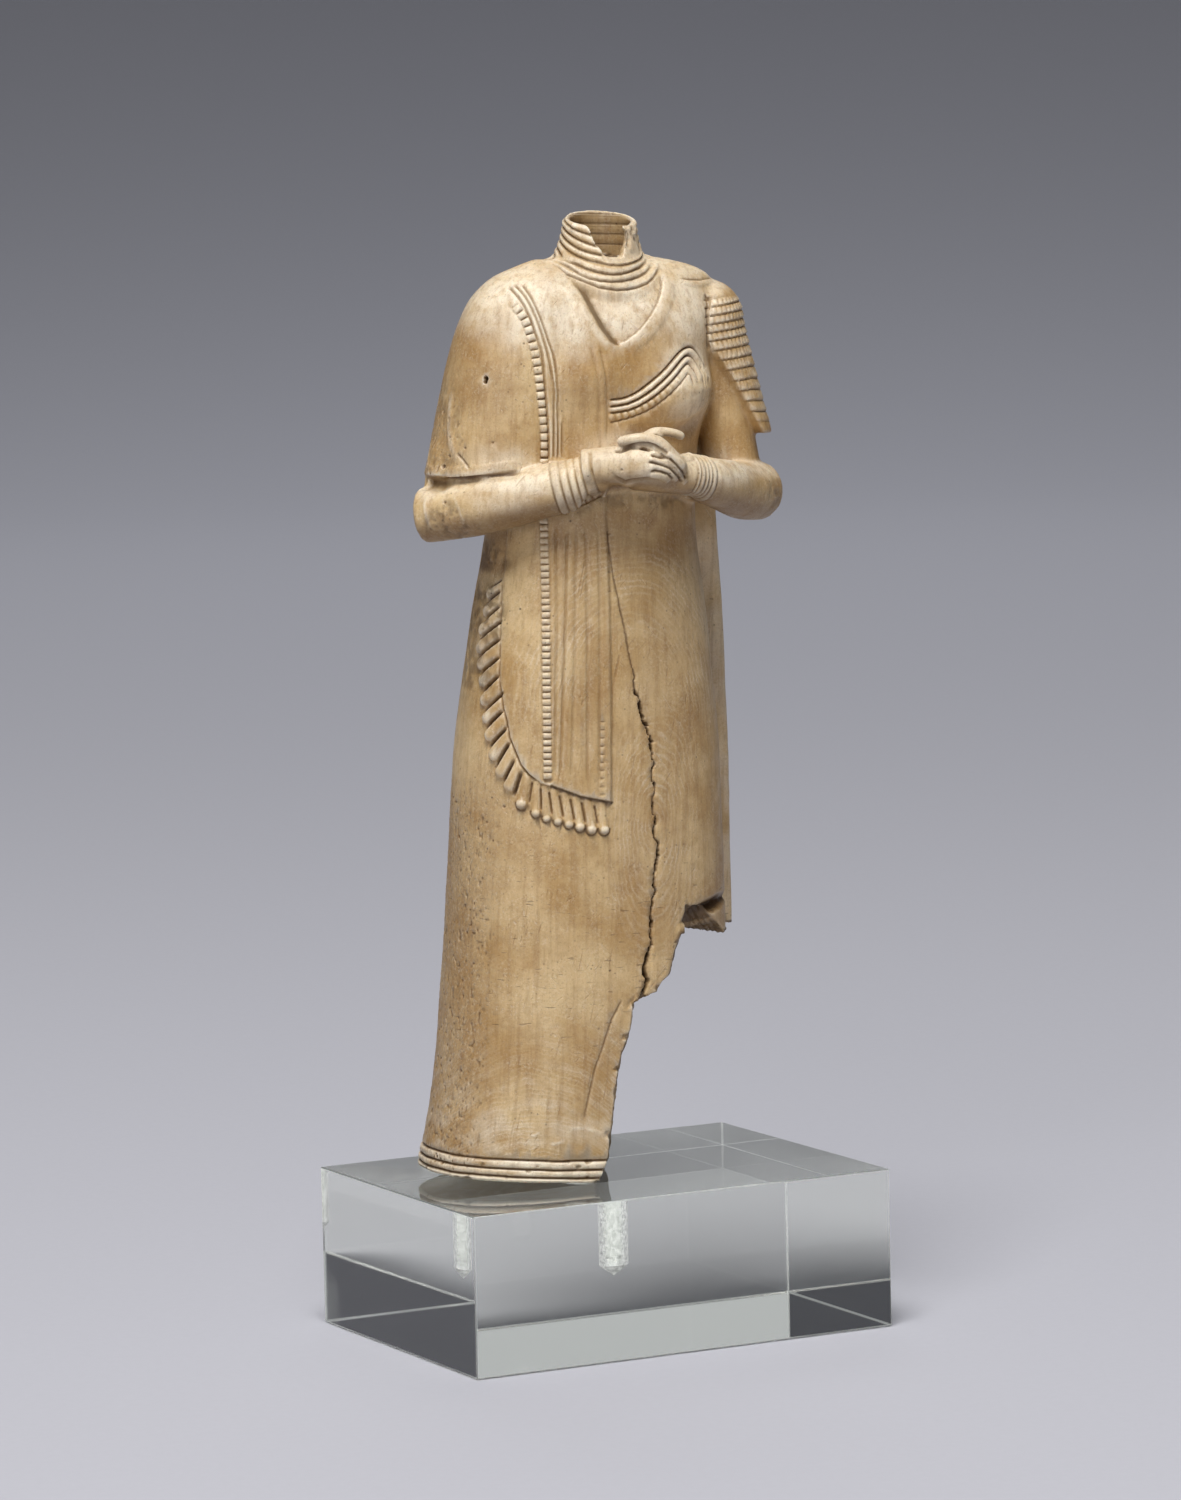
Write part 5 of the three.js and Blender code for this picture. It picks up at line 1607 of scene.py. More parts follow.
def gap_to_line(x, z, corners):
    """Distance of points to a line through corners, in the plane of the line."""
    gap = np.full(len(x), 1e9)
    for (x0, z0), (x1, z1) in zip(corners[:-1], corners[1:]):
        way = np.array((x1 - x0, z1 - z0))
        share = np.clip(((x - x0) * way[0] + (z - z0) * way[1]) / (way @ way), 0, 1)
        gap = np.minimum(gap, np.hypot(x - x0 - share * way[0], z - z0 - share * way[1]))
    return gap


# Hollow where the front has split away above the short side's end: across the view and height
HOLLOW = [
    (10.5, 28.7), (11.0, 29.8), (11.9, 30.7), (13.9, 31.4), (15.0, 31.8), (15.8, 31.8), (16.4, 31.1),
    (16.3, 30.5), (15.4, 29.6), (13.9, 29.0), (13.0, 28.7), (11.6, 28.2),
]


def carve_hollow(work):
    """The hollow of the break at the short side, sunk in and painted dark as shade."""
    across = across_view(work)
    inside = np.zeros(len(across), bool)
    for (x0, z0), (x1, z1) in zip(HOLLOW, HOLLOW[1:] + HOLLOW[:1]):
        if z0 != z1:
            meets = x0 + (work.z - z0) * (x1 - x0) / (z1 - z0)
            inside ^= ((z0 > work.z) != (z1 > work.z)) & (across < meets)
    inside &= (work.y < 1) & (work.x > 6)
    gap = gap_to_line(across, work.z, HOLLOW + HOLLOW[:1])
    deep = inside * fade(gap, 0.0, 1.3)
    rough = 1 + 0.35 * noise(work.places, 0.8, 64)
    work.rise -= 1.1 * deep * rough
    # The hollow and the broken faces round it are painted dark, mottled, as shade.
    darkening = fade(noise(work.places, 0.6, 65), -1.6, -0.2)
    near = (work.x > 8) * (work.z > 27) * (work.z < 32) * (work.y < 1) * work.broken
    work.at_least("dark", 0.95 * np.maximum(inside * fade(gap, -0.1, 0.9), 0.7 * near) * darkening)
    work.at_least("broken", inside * fade(gap, 0.0, 0.6))
    rim = (~inside) * (1 - fade(gap, 0.3, 0.8)) * (work.z < 29.3) * (across > 11.2) * (work.y < 1)
    work.broken = work.broken * (1 - 0.6 * rim)
    work.dark = work.dark * (1 - 0.7 * rim)


def carve_wear(work):
    """Pits, the broken faces, and the worn and weathered skin."""
    for place, size, depth in PITS:
        gap = work.away_from(place)
        close = np.nonzero(gap < size * 3)[0]
        lopsided = gap[close] * (1 + 0.3 * noise(work.places[close], 0.5, 11))
        shape = notch_shape(lopsided, size)
        work.rise[close] -= depth * shape
        darkening = np.clip(2.0 * depth, 0, 1) * np.clip((1.0 + 2.0 * depth) * shape, 0, 1)
        work.at_least("dark", darkening, close)
    for route, half, rise, pale in WORN_EDGES:
        if rise < 0:
            work.groove(route, half, -rise, dark=-pale, taper=0.5)
            continue
        work.ridge(route, half, rise, taper=0.8)
        chosen, away, ends = work.strip(route, half, 0.6)
        work.at_least("bleach", pale * ((1 - fade(away, 0.2 * half, 0.9 * half)) * ends), chosen)
    x = work.x - BREAK_SKEW * (work.y - BREAK_FRONT)
    gap = gap_to_line(x, work.z, np.asarray(BREAK_OUTLINE, float))
    inner = (work.robe_gap < -0.3) | (work.z > 26.5)
    faces = (1 - fade(gap, 0.2, 0.45)) * inner * (work.z < 29) * (work.x > -8)
    chip = (work.robe_gap < -0.25) & (work.x > 6) & (work.z < 33.5) & (work.z > 26.8) & (work.y < -2)
    work.broken = np.clip(np.maximum(faces, 0.9 * chip), 0, 1)
    layers = np.hypot(work.x + 2.0, work.y - 2.0) + 0.12 * work.z + 0.25 * noise(work.places, 3.0, 15)
    steps = np.abs((layers / 0.62) % 1 - 0.5) * 2
    rough = 0.16 * noise(work.places, 1.3, 16) + 0.07 * noise(work.places, 0.45, 17) + 0.14 * (steps - 0.5)
    work.rise += work.broken * rough
    edge = (1 - fade(gap, 0.2, 0.9)) * (work.z < 29) * (work.x > -8) * (1 - faces)
    work.rise -= edge * fade(noise(work.places, 0.9, 18), 0.15, 0.6) * 0.3
    # Weathered skin: soft dents all over, and a coarse upright grain at the right side of the skirt
    turn = np.degrees(work.angle)
    grain = fade(-turn, 52, 70) * (1 - fade(-turn, 120, 150)) * (1 - fade(work.z, 40, 46)) * work.on_robe
    ragged = work.on_cape * fade(-work.x, 16.2, 18.4)
    ragged = ragged * (1 - fade(work.z, 84, 90)) * fade(work.z, 77.5, 78.5)
    grain = np.maximum(grain, 0.9 * ragged)
    work.rise += 0.07 * noise(work.places, 5.0, 19) + 0.02 * noise(work.places, 1.4, 20)
    coarse = 0.02 * noise(work.places, (0.35, 0.35, 1.4), 22)
    work.rise += grain * (coarse + 0.035 * noise(work.places, (0.27, 0.27, 0.45), 23))
    pitted = fade(noise(work.places, (0.3, 0.3, 0.42), 24), 0.45, 0.75) * (0.25 + grain) * work.on_dress
    work.rise -= 0.1 * pitted
    work.at_least("dark", 0.45 * pitted * fade(grain, 0, 0.4))
    skin_tones_painted_light_and_shade(work)
    carve_dirt_and_shade(work)
    carve_hollow(work)
    work.grain = grain


def carve(places, outward):
    """All the relief of the figurine."""
    work = Carving(places, outward)
    for step in (
        carve_panel, carve_fringe, carve_border, carve_neckline, carve_breast_border, carve_sleeve,
        carve_bracelets, carve_hands, carve_neck, carve_hem, carve_crack, carve_cape_edge, carve_wear,
    ):
        step(work)
    return work


# Figurine

# Rounds of smoothing for the joined parts, for the cut blank, and to find narrow and broad hollows
ROUNDS = {"parts": 4, "blank": 3, "narrow": 4, "broad": 40}
JOINED_COARSER = 1.5


def make_blank(voxel):
    """The figurine's solid form, without its fine relief."""
    shells = [make_robe(), make_cape(), make_mantle(), make_sleeve(), make_neck()]
    shells += make_arms() + make_hands()
    mesh = remeshed(mesh_from(shells, "figurine"), voxel * JOINED_COARSER)
    near = Neighbours(mesh)
    set_places(mesh, softened(places_of(mesh), near, ROUNDS["parts"]))
    return remeshed(cut(mesh, make_cutters()), voxel)


def hollow_share(places, outward, near, rounds):
    """How far each place lies below its surroundings, in millimetres."""
    return ((softened(places, near, rounds) - places) * outward).sum(1)


def model_transform():
    """From the figurine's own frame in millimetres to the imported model's frame in metres."""
    return (
        Matrix.Scale(MM, 4)
        @ Matrix.Translation((HOLE["x"], HOLE["y"], HEM_HEIGHT))
        @ Matrix.Rotation(STANCE["turn"], 4, "Z")
        @ Matrix.Rotation(STANCE["lean"], 4, "Y")
    )


def add_measure(mesh, name, values):
    """Stores one number per vertex, for the ivory's material."""
    layer = mesh.attributes.new(name, "FLOAT", "POINT")
    layer.data.foreach_set("value", np.clip(values, 0, 1).astype(np.float32))


def make_figurine(settings):
    """The carved figurine as one mesh."""
    voxel = settings.voxel * 1.0
    mesh = make_blank(voxel)
    near = Neighbours(mesh)
    set_places(mesh, softened(places_of(mesh), near, ROUNDS["blank"]))
    places, outward = places_of(mesh), normals_of(mesh)
    work = carve(places, outward)
    carved = places + outward * work.rise[:, None]
    set_places(mesh, carved)
    outward = normals_of(mesh)
    fine = hollow_share(carved, outward, near, ROUNDS["narrow"])
    broad = hollow_share(carved, outward, near, ROUNDS["broad"])
    # Hollows are darkened, as dirt and as painted shade, and crests paled, as wear and as painted
    # highlight.
    add_measure(mesh, "recess", fade(fine, 0.01, 0.09) * 0.55 + fade(broad, 0.06, 0.42) * 0.75)
    crest = fade(-fine, 0.01, 0.07) * 0.6 + fade(-broad, 0.05, 0.3) * 0.6
    add_measure(mesh, "crest", crest * (1 - work.plain))
    for name in ("dark", "broken", "grain", "bleach", "stain"):
        add_measure(mesh, name, getattr(work, name))
    mesh = thinned(mesh, settings.triangles)
    mesh.transform(model_transform())
    smooth_shaded(mesh).update()
    return mesh


# Mount pieces


def sharp_edged(mesh, degrees):
    """The mesh shaded smooth but for edges that turn by more than an angle."""
    smooth_shaded(mesh).set_sharp_from_angle(angle=math.radians(degrees))
    return mesh


def ease(shell, edges, size, steps):
    """Rounds or chamfers some of a skin's edges."""
    bmesh.ops.bevel(
        shell, geom=edges, offset=size * MM, segments=steps, profile=0.5, affect="EDGES", material=-1
    )


def make_block(settings):
    """The clear block with its drilled hole and eased edges, which are its second and third material."""
    low, high = BLOCK_BOX
    middle, size = (low + high) / 2, high - low
    shell = bmesh.new()
    place = Matrix.Translation(middle) @ Matrix.Diagonal((*size, 1))
    bmesh.ops.create_cube(shell, size=1, matrix=place)
    ease(shell, list(shell.edges), settings.edge, 3)
    around = turn_of(96)
    across, ahead = np.cos(around), np.sin(around)
    wide, top = HOLE["radius"], high.z / MM + 2
    rings = []
    for radius, z in ((wide * 0.02, HOLE["cone_bottom"]), (wide, HOLE["cone_top"]), (wide, top)):
        rings.append(rows_of(HOLE["x"] + radius * across, HOLE["y"] + radius * ahead, z) * MM)
    mesh = mesh_from([shell], "block")
    mesh = cut(mesh, [loft(rings)])
    mesh.materials.clear()
    centres = vectors_of(mesh.polygons, "center") / MM
    away = np.hypot(centres[:, 0] - HOLE["x"], centres[:, 1] - HOLE["y"])
    inside = (away < wide * 1.01) & (centres[:, 2] < high.z / MM - 0.05)
    eased = ~inside & (np.abs(vectors_of(mesh.polygons, "normal")).max(1) < 0.995)
    mesh.polygons.foreach_set("material_index", (inside + 2 * eased).astype(np.int32))
    return sharp_edged(mesh, 10)


def make_rod():
    """The clear rod between the figurine and the block."""
    bottom = HOLE["cone_top"] + TOUCH_GAP
    top = HEM_HEIGHT + ROD["in_figurine"]
    place = Matrix.Translation((HOLE["x"] * MM, HOLE["y"] * MM, (bottom + top) / 2 * MM))
    shell = cylinder(ROD["radius"] * MM, (top - bottom) * MM, 64, place)
    rims = [e for e in shell.edges if abs(e.verts[0].co.z - e.verts[1].co.z) < 1e-6]
    ease(shell, rims, ROD["chamfer"], 1)
    return sharp_edged(mesh_from([shell], "rod"), 30)


# Materials


class Paint:
    """A material's node tree, with short ways to add the nodes used here."""

    def __init__(self, name):
        self.material = bpy.data.materials.new(name)
        self.material.use_nodes = True
        self.tree = self.material.node_tree
        self.tree.nodes.clear()
        self.output = self.add("ShaderNodeOutputMaterial")
        self.shader = self.add("ShaderNodeBsdfPrincipled")
        self.join(self.shader.outputs["BSDF"], self.output.inputs["Surface"])

    def add(self, kind, **settings):
        node = self.tree.nodes.new(kind)
        for key, value in settings.items():
            setattr(node, key, value)
        return node

    def join(self, source, target):
        self.tree.links.new(source, target)

    def feed(self, socket, value):
        """Sets a socket to a number, or joins another node's output to it."""
        if isinstance(value, bpy.types.NodeSocket):
            self.join(value, socket)
        else:
            socket.default_value = value

    def math(self, operation, first, second=0.0, third=0.0, clamp=False):
        node = self.add("ShaderNodeMath", operation=operation, use_clamp=clamp)
        for socket, value in zip(node.inputs, (first, second, third)):
            self.feed(socket, value)
        return node.outputs[0]

    def times(self, first, second):
        return self.math("MULTIPLY", first, second)

    def vector_math(self, operation, vector, amounts):
        node = self.add("ShaderNodeVectorMath", operation=operation)
        self.join(vector, node.inputs[0])
        node.inputs[1].default_value = amounts
        return node.outputs[0]

    def coordinates(self, offset=(0, 0, 0), turn=(0, 0, 0), scale=(1, 1, 1)):
        """Object coordinates, moved, turned and scaled."""
        source = self.add("ShaderNodeTexCoord").outputs["Object"]
        mapping = self.add("ShaderNodeMapping")
        self.join(source, mapping.inputs["Vector"])
        for name, value in (("Location", offset), ("Rotation", turn), ("Scale", scale)):
            mapping.inputs[name].default_value = value
        return mapping.outputs[0]

    def noise(self, vector, scale, detail=4.0, roughness=0.55, distortion=0.0):
        node = self.add("ShaderNodeTexNoise")
        self.join(vector, node.inputs["Vector"])
        names = ("Scale", "Detail", "Roughness", "Distortion")
        for name, value in zip(names, (scale, detail, roughness, distortion)):
            node.inputs[name].default_value = value
        return node.outputs["Fac"]

    def ramp(self, value, start, end, low=0.0, high=1.0):
        """Maps start..end smoothly to low..high."""
        node = self.add("ShaderNodeMapRange", interpolation_type="SMOOTHSTEP")
        self.feed(node.inputs["Value"], value)
        for name, number in (("From Min", start), ("From Max", end), ("To Min", low), ("To Max", high)):
            node.inputs[name].default_value = number
        return node.outputs[0]

    def mix(self, share, first, second):
        """A mix of two colours."""
        node = self.add("ShaderNodeMix", data_type="RGBA")
        self.feed(node.inputs["Factor"], share)
        for name, value in (("A", first), ("B", second)):
            socket = next(s for s in node.inputs if s.name == name and s.type == "RGBA")
            self.feed(socket, value if isinstance(value, bpy.types.NodeSocket) else (*value, 1))
        return next(s for s in node.outputs if s.type == "RGBA")

    def measure(self, name):
        """A number stored on the mesh's vertices."""
        node = self.add("ShaderNodeAttribute", attribute_name=name, attribute_type="GEOMETRY")
        return node.outputs["Fac"]

    def bump(self, height, strength, distance_m):
        node = self.add("ShaderNodeBump")
        self.join(height, node.inputs["Height"])
        node.inputs["Strength"].default_value = strength
        node.inputs["Distance"].default_value = distance_m
        self.join(node.outputs[0], self.shader.inputs["Normal"])


def srgb(red, green, blue):
    """A colour given by its display values, as light values."""
    shares = (red / 255, green / 255, blue / 255)
    return tuple(v / 12.92 if v <= 0.04045 else ((v + 0.055) / 1.055) ** 2.4 for v in shares)


def own_frame(paint, scale=(1, 1, 1)):
    """Coordinates in the figurine's own frame, in metres."""
    source = paint.add("ShaderNodeTexCoord").outputs["Object"]
    hem = (HOLE["x"] * MM, HOLE["y"] * MM, HEM_HEIGHT * MM)
    vector = paint.vector_math("SUBTRACT", source, hem)
    for axis, angle in (("Z_AXIS", STANCE["turn"]), ("Y_AXIS", STANCE["lean"])):
        turn = paint.add("ShaderNodeVectorRotate", rotation_type=axis)
        paint.join(vector, turn.inputs["Vector"])
        turn.inputs["Angle"].default_value = -angle
        vector = turn.outputs[0]
    return paint.vector_math("MULTIPLY", vector, scale)


# How far the growth lines waver
WAVER_M = 0.0034


def growth_lines(paint, parts, cloud, centre, flatten, slope, period):
    """Fine lines from 0 to 1 where growth layers round a slanting axis meet the surface, and how far
    from that axis each place is."""
    terms = []
    for part, middle, squeeze in zip(parts, centre, flatten):
        if squeeze:
            term = paint.times(paint.math("SUBTRACT", part, middle), squeeze)
            terms.append(paint.times(term, term))
    far = paint.math("SQRT", paint.math("ADD", *terms))
    layer = paint.math("ADD", far, paint.times(parts[2], slope))
    layer = paint.math("ADD", layer, paint.times(cloud, WAVER_M))
    waves = paint.math("SINE", paint.times(layer, 2 * math.pi / period))
    return paint.ramp(waves, 0.0, 1.0), far


def ivory_material(settings):
    """Old ivory: tan body, paler crests as wear and painted highlight, brown in the cuts and hollows as
    dirt and painted shade, fine growth lines and upright grain.
    """
    paint = Paint("ivory")
    times, ramp, noise_at = paint.times, paint.ramp, paint.noise
    frame_m = own_frame(paint)
    separate = paint.add("ShaderNodeSeparateXYZ")
    paint.join(frame_m, separate.inputs[0])
    parts = separate.outputs
    cloud = noise_at(frame_m, 90.0, 5, 0.6)
    blotch = noise_at(frame_m, 260.0, 4, 0.6, 0.6)
    patches = noise_at(frame_m, 700.0, 4, 0.65)
    fine = noise_at(frame_m, 3400.0, 3, 0.7)
    upright = noise_at(own_frame(paint, (1, 1, 0.06)), 1500.0, 3, 0.6)
    colour = paint.mix(ramp(cloud, 0.36, 0.64), srgb(*settings.tan_low), srgb(*settings.tan_high))

    def tint(share, strength, tone):
        """Mixes one of the settings' colours in, by a share of the given strength."""
        nonlocal colour
        colour = paint.mix(times(share, strength), colour, srgb(*getattr(settings, tone)))

    tint(ramp(patches, 0.45, 0.7), 0.22, "stain")
    # The stored measures of stains and of bleaching also hold painted shade and painted highlights.
    tint(times(paint.measure("stain"), ramp(blotch, 0.3, 0.62, 0.45, 1.0)), 0.62, "stain")
    tint(times(paint.measure("bleach"), ramp(patches, 0.3, 0.55, 0.5, 1.0)), 0.8, "pale")
    # Growth lines: arches over the foot, a long whorl on the skirt and arcs above it
    shown = ramp(blotch, 0.35, 0.68, 0.2, 1.0)
    foot_axis = ((-0.0068, -0.006, 0), (1, 1, 0), 0.9)
    arches, _ = growth_lines(paint, parts, cloud, *foot_axis, 0.00042)
    bands, _ = growth_lines(paint, parts, cloud, *foot_axis, 0.0019)
    foot = ramp(parts[2], 0.022, 0.006)
    whorl, far = growth_lines(paint, parts, cloud, (0.0043, 0, 0.0394), (1, 0, 0.42), 0.0, 0.00047)
    whorl = times(whorl, ramp(far, 0.0075, 0.0045))
    arcs, far = growth_lines(paint, parts, cloud, (0.0012, 0, 0.052), (1, 0, 0.72), 0.0, 0.00052)
    near_arcs = times(times(ramp(far, 0.006, 0.008), ramp(far, 0.017, 0.012)), ramp(parts[2], 0.048, 0.056))
    front = ramp(parts[1], 0.0, -0.004)
    lines = times(arches, paint.math("ADD", times(foot, 0.8), 0.12))
    lines = paint.math("MAXIMUM", lines, whorl)
    lines = paint.math("MAXIMUM", lines, times(arcs, near_arcs))
    lines = times(times(lines, shown), paint.math("MULTIPLY_ADD", front, 0.85, 0.15))
    tint(lines, 0.19, "pale")
    tint(times(times(bands, foot), shown), 0.22, "pale")
    tint(ramp(upright, 0.45, 0.68), 0.28, "stain")
    tint(times(ramp(fine, 0.45, 0.75), ramp(blotch, 0.4, 0.6, 0.3, 1.0)), 0.22, "pale")
    tint(ramp(noise_at(frame_m, 5200.0, 2, 0.7), 0.52, 0.72), 0.3, "stain")
    # Thin scratches in three directions, pale or brown
    scratched = 0.0
    for slant, tone, strength in ((0.6, "pale", 0.16), (-0.8, "stain", 0.3), (-0.25, "stain", 0.4)):
        slanted = paint.coordinates(turn=(0, slant, 0), offset=(slant, 0, 0))
        stretched = paint.vector_math("MULTIPLY", slanted, (1, 1, 0.022))
        thin = ramp(noise_at(stretched, 3600.0, 1, 0.5), 0.66, 0.76)
        thin = times(thin, ramp(blotch, 0.42, 0.62))
        tint(thin, strength, tone)
        scratched = paint.math("MAXIMUM", thin, scratched)
    # Short level marks on the lower skirt
    level = noise_at(own_frame(paint, (0.36, 0.36, 2.2)), 1500.0, 2, 0.5)
    marks = times(times(ramp(level, 0.67, 0.73), ramp(parts[2], 0.012, 0.018)), ramp(parts[2], 0.04, 0.032))
    grain = paint.measure("grain")
    tint(grain, 0.28, "stain")
    tint(times(grain, ramp(noise_at(frame_m, 2400.0, 3, 0.7), 0.5, 0.68)), 0.2, "pale")
    tint(times(grain, ramp(fine, 0.5, 0.66)), 0.35, "deep")
    # Crests pale as wear and painted highlight, hollows brown as dirt and painted shade
    tint(paint.measure("crest"), 0.72, "pale")
    tint(paint.measure("recess"), 0.85, "stain")
    tint(paint.measure("broken"), 0.75, "broken")
    # The dark measure holds dirt in the cuts and painted shade under the arms, hands, beads and cape and in
    # the broken hollow
    tint(paint.measure("dark"), 0.9, "deep")
    # Round brown spots
    for scale, size, strength in ((420.0, 0.05, 0.75), (900.0, 0.09, 0.5)):
        spots = paint.add("ShaderNodeTexVoronoi")
        paint.join(frame_m, spots.inputs["Vector"])
        spots.inputs["Scale"].default_value = scale
        round_spots = ramp(spots.outputs["Distance"], size * 1.5, size * 0.6)
        tint(times(round_spots, ramp(cloud, 0.45, 0.6)), strength, "deep")
    tint(marks, 0.38, "deep")
    paint.join(colour, paint.shader.inputs["Base Color"])
    gloss = settings.gloss
    paint.join(ramp(patches, 0.3, 0.7, gloss, gloss + 0.16), paint.shader.inputs["Roughness"])
    paint.shader.inputs["IOR"].default_value = 1.5
    paint.shader.inputs["Subsurface Weight"].default_value = 0.08
    paint.shader.inputs["Subsurface Radius"].default_value = (1.0, 0.55, 0.3)
    paint.shader.inputs["Subsurface Scale"].default_value = 0.0005
    relief = paint.math("ADD", times(upright, 0.45), times(lines, 0.12))
    relief = paint.math("ADD", relief, times(fine, 0.35))
    relief = paint.math("ADD", relief, times(patches, 0.8))
    relief = paint.math("SUBTRACT", relief, paint.math("MULTIPLY_ADD", scratched, 0.6, times(marks, 0.5)))
    paint.bump(relief, 0.5, 0.00014)
    return paint.material


def acrylic_material(name, settings, roughness=0.0, cloudy=False, glow=0.0):
    """Clear acrylic, or the scratched wall that a drill leaves in it.

    The glow stands for the light that the block carries to its edges and to the drilled wall.
    """
    paint = Paint(name)
    tint = (0.93, 0.95, 0.93) if cloudy else settings.acrylic
    paint.shader.inputs["Base Color"].default_value = (*tint, 1)
    paint.shader.inputs["Transmission Weight"].default_value = 1.0
    paint.shader.inputs["IOR"].default_value = settings.bend
    paint.shader.inputs["Roughness"].default_value = roughness
    if cloudy:
        frame_m = paint.coordinates()
        rings = paint.noise(paint.coordinates(scale=(1, 1, 3)), 1100.0, 4, 0.7)
        lumps = paint.noise(frame_m, 2600.0, 2, 0.6)
        paint.bump(paint.math("ADD", rings, paint.math("MULTIPLY", lumps, 0.6)), 0.6, 0.00025)
        paint.join(paint.ramp(rings, 0.3, 0.7, 0.25, 0.6), paint.shader.inputs["Roughness"])
        sparkle = paint.mix(paint.ramp(lumps, 0.4, 0.65), (0.45, 0.46, 0.45), (1.0, 1.0, 1.0))
        paint.join(sparkle, paint.shader.inputs["Emission Color"])
    else:
        paint.shader.inputs["Emission Color"].default_value = (0.95, 1.0, 0.97, 1)
    paint.shader.inputs["Emission Strength"].default_value = glow
    return paint.material


def stage_material(settings):
    """Plain matt paper."""
    paint = Paint("paper")
    fibre = paint.noise(paint.coordinates(), 900.0, 3, 0.6)
    low = tuple(settings.paper[k] * 0.985 for k in range(3))
    colour = paint.mix(paint.ramp(fibre, 0.3, 0.7), low, tuple(settings.paper))
    paint.join(colour, paint.shader.inputs["Base Color"])
    paint.shader.inputs["Roughness"].default_value = 0.85
    paint.shader.inputs["Specular IOR Level"].default_value = 0.0
    return paint.material


# Stage: floor, backdrop, lights and camera

# The photograph's size and lens in pixels, and the camera's place and directions, in millimetres
PHOTO = {"width": 1181, "height": 1500, "focal": 6237.43, "centre_x": 589.92, "centre_y": 736.99}
CAMERA = {
    "place": (-326.695, -620.445, 140.859),
    "ahead": (0.46292, 0.88024, -0.10429),
    "right": (0.88372, -0.46745, -0.02281),
    "down": (-0.06883, -0.08161, -0.99428),
}


def make_stage(settings):
    """A round floor that curves up into a far wall."""
    shell = bmesh.new()
    floor, curve, height = settings.floor_m, 3.0, 3.6
    profile = [(0.02, 0.0), (floor, 0.0)]
    for step in range(1, 61):
        angle = step / 60 * math.pi / 2
        profile.append((floor + curve * math.sin(angle), curve * (1 - math.cos(angle))))
    profile.append((floor + curve, height))
    line = [shell.verts.new((radius, 0, z)) for radius, z in profile]
    edges = [shell.edges.new(pair) for pair in zip(line, line[1:])]
    bmesh.ops.spin(
        shell, geom=line + edges, cent=(0, 0, 0), axis=(0, 0, 1), angle=math.tau, steps=96,
        use_merge=True, use_duplicate=False,
    )
    rim = [e for e in shell.edges if e.is_boundary and e.verts[0].co.z < 0.001]
    bmesh.ops.holes_fill(shell, edges=rim, sides=0)
    bmesh.ops.recalc_face_normals(shell, faces=shell.faces)
    up = next(face for face in shell.faces if abs(face.normal.z) > 0.9)
    if up.normal.z < 0:
        bmesh.ops.reverse_faces(shell, faces=shell.faces)
    return smooth_shaded(mesh_from([shell], "floor"))


def add_light(name, place, target, size, power, colour):
    """A soft rectangular light that faces a point."""
    lamp = bpy.data.lights.new(name, "AREA")
    lamp.shape = "RECTANGLE"
    lamp.size, lamp.size_y = size
    lamp.energy = power
    lamp.color = colour
    thing = bpy.data.objects.new(name, lamp)
    thing.location = place
    thing.rotation_euler = (Vector(target) - Vector(place)).to_track_quat("-Z", "Y").to_euler()
    bpy.context.scene.collection.objects.link(thing)
    return thing


def add_camera():
    """The camera where the photograph was taken from."""
    lens = bpy.data.cameras.new("camera")
    lens.sensor_fit = "AUTO"
    lens.sensor_width = 36.0
    lens.lens = PHOTO["focal"] * lens.sensor_width / PHOTO["height"]
    lens.shift_x = (PHOTO["width"] / 2 - PHOTO["centre_x"]) / PHOTO["height"]
    lens.shift_y = (PHOTO["centre_y"] - PHOTO["height"] / 2) / PHOTO["height"]
    lens.clip_start, lens.clip_end = 0.05, 20.0
    lens.dof.use_dof = False
    thing = bpy.data.objects.new("camera", lens)
    right, up = Vector(CAMERA["right"]), -Vector(CAMERA["down"])
    back = -Vector(CAMERA["ahead"])
    turn = Matrix((right, up, back)).transposed().to_4x4()
    thing.matrix_world = Matrix.Translation(Vector(CAMERA["place"]) * MM) @ turn
    bpy.context.scene.collection.objects.link(thing)
    bpy.context.scene.camera = thing
    return thing


# Add-on


class FigurineSettings(bpy.types.PropertyGroup):
    """Sizes and colours of the carved figurine."""

    voxel: FloatProperty(
        name="Voxel", description="Finest detail of the carving, in millimetres", default=0.13, min=0.05
    )
    triangles: IntProperty(
        name="Triangles", description="Most triangles of the figurine", default=194000, min=1000
    )
    tan_low: FloatVectorProperty(
        name="Dark tan", description="Darker ivory, as display values", default=(184, 149, 97)
    )
    tan_high: FloatVectorProperty(
        name="Light tan", description="Lighter ivory, as display values", default=(216, 188, 141)
    )
    # This tone also paints the highlights on crests, bead tops, fingertips and faces turned up.
    pale: FloatVectorProperty(
        name="Pale", description="Worn pale ivory, as display values", default=(253, 243, 222)
    )
    # This tone also paints the shade in hollows and under the arms, the hands and the breast.
    stain: FloatVectorProperty(
        name="Stain", description="Brown stain in hollows, as display values", default=(138, 97, 48)
    )
    # This tone also paints the shade under the forearms, the hands, the beads and the cape's edge, and in
    # the broken hollow.
    deep: FloatVectorProperty(
        name="Deep", description="Dirt in the deepest cuts, as display values", default=(66, 42, 18)
    )
    broken: FloatVectorProperty(
        name="Broken", description="Broken faces, as display values", default=(122, 96, 62)
    )
    gloss: FloatProperty(
        name="Roughness", description="Roughness of the polished skin", default=0.36, subtype="FACTOR"
    )


class MountSettings(bpy.types.PropertyGroup):
    """Sizes and finish of the acrylic mount."""

    edge: FloatProperty(
        name="Edge", description="Rounding of the block's edges, in millimetres", default=0.16
    )
    acrylic: FloatVectorProperty(
        name="Acrylic", description="Tint of the acrylic", subtype="COLOR", default=(0.90, 0.92, 0.865)
    )
    bend: FloatProperty(name="Refraction", description="Refractive index of the acrylic", default=1.49)


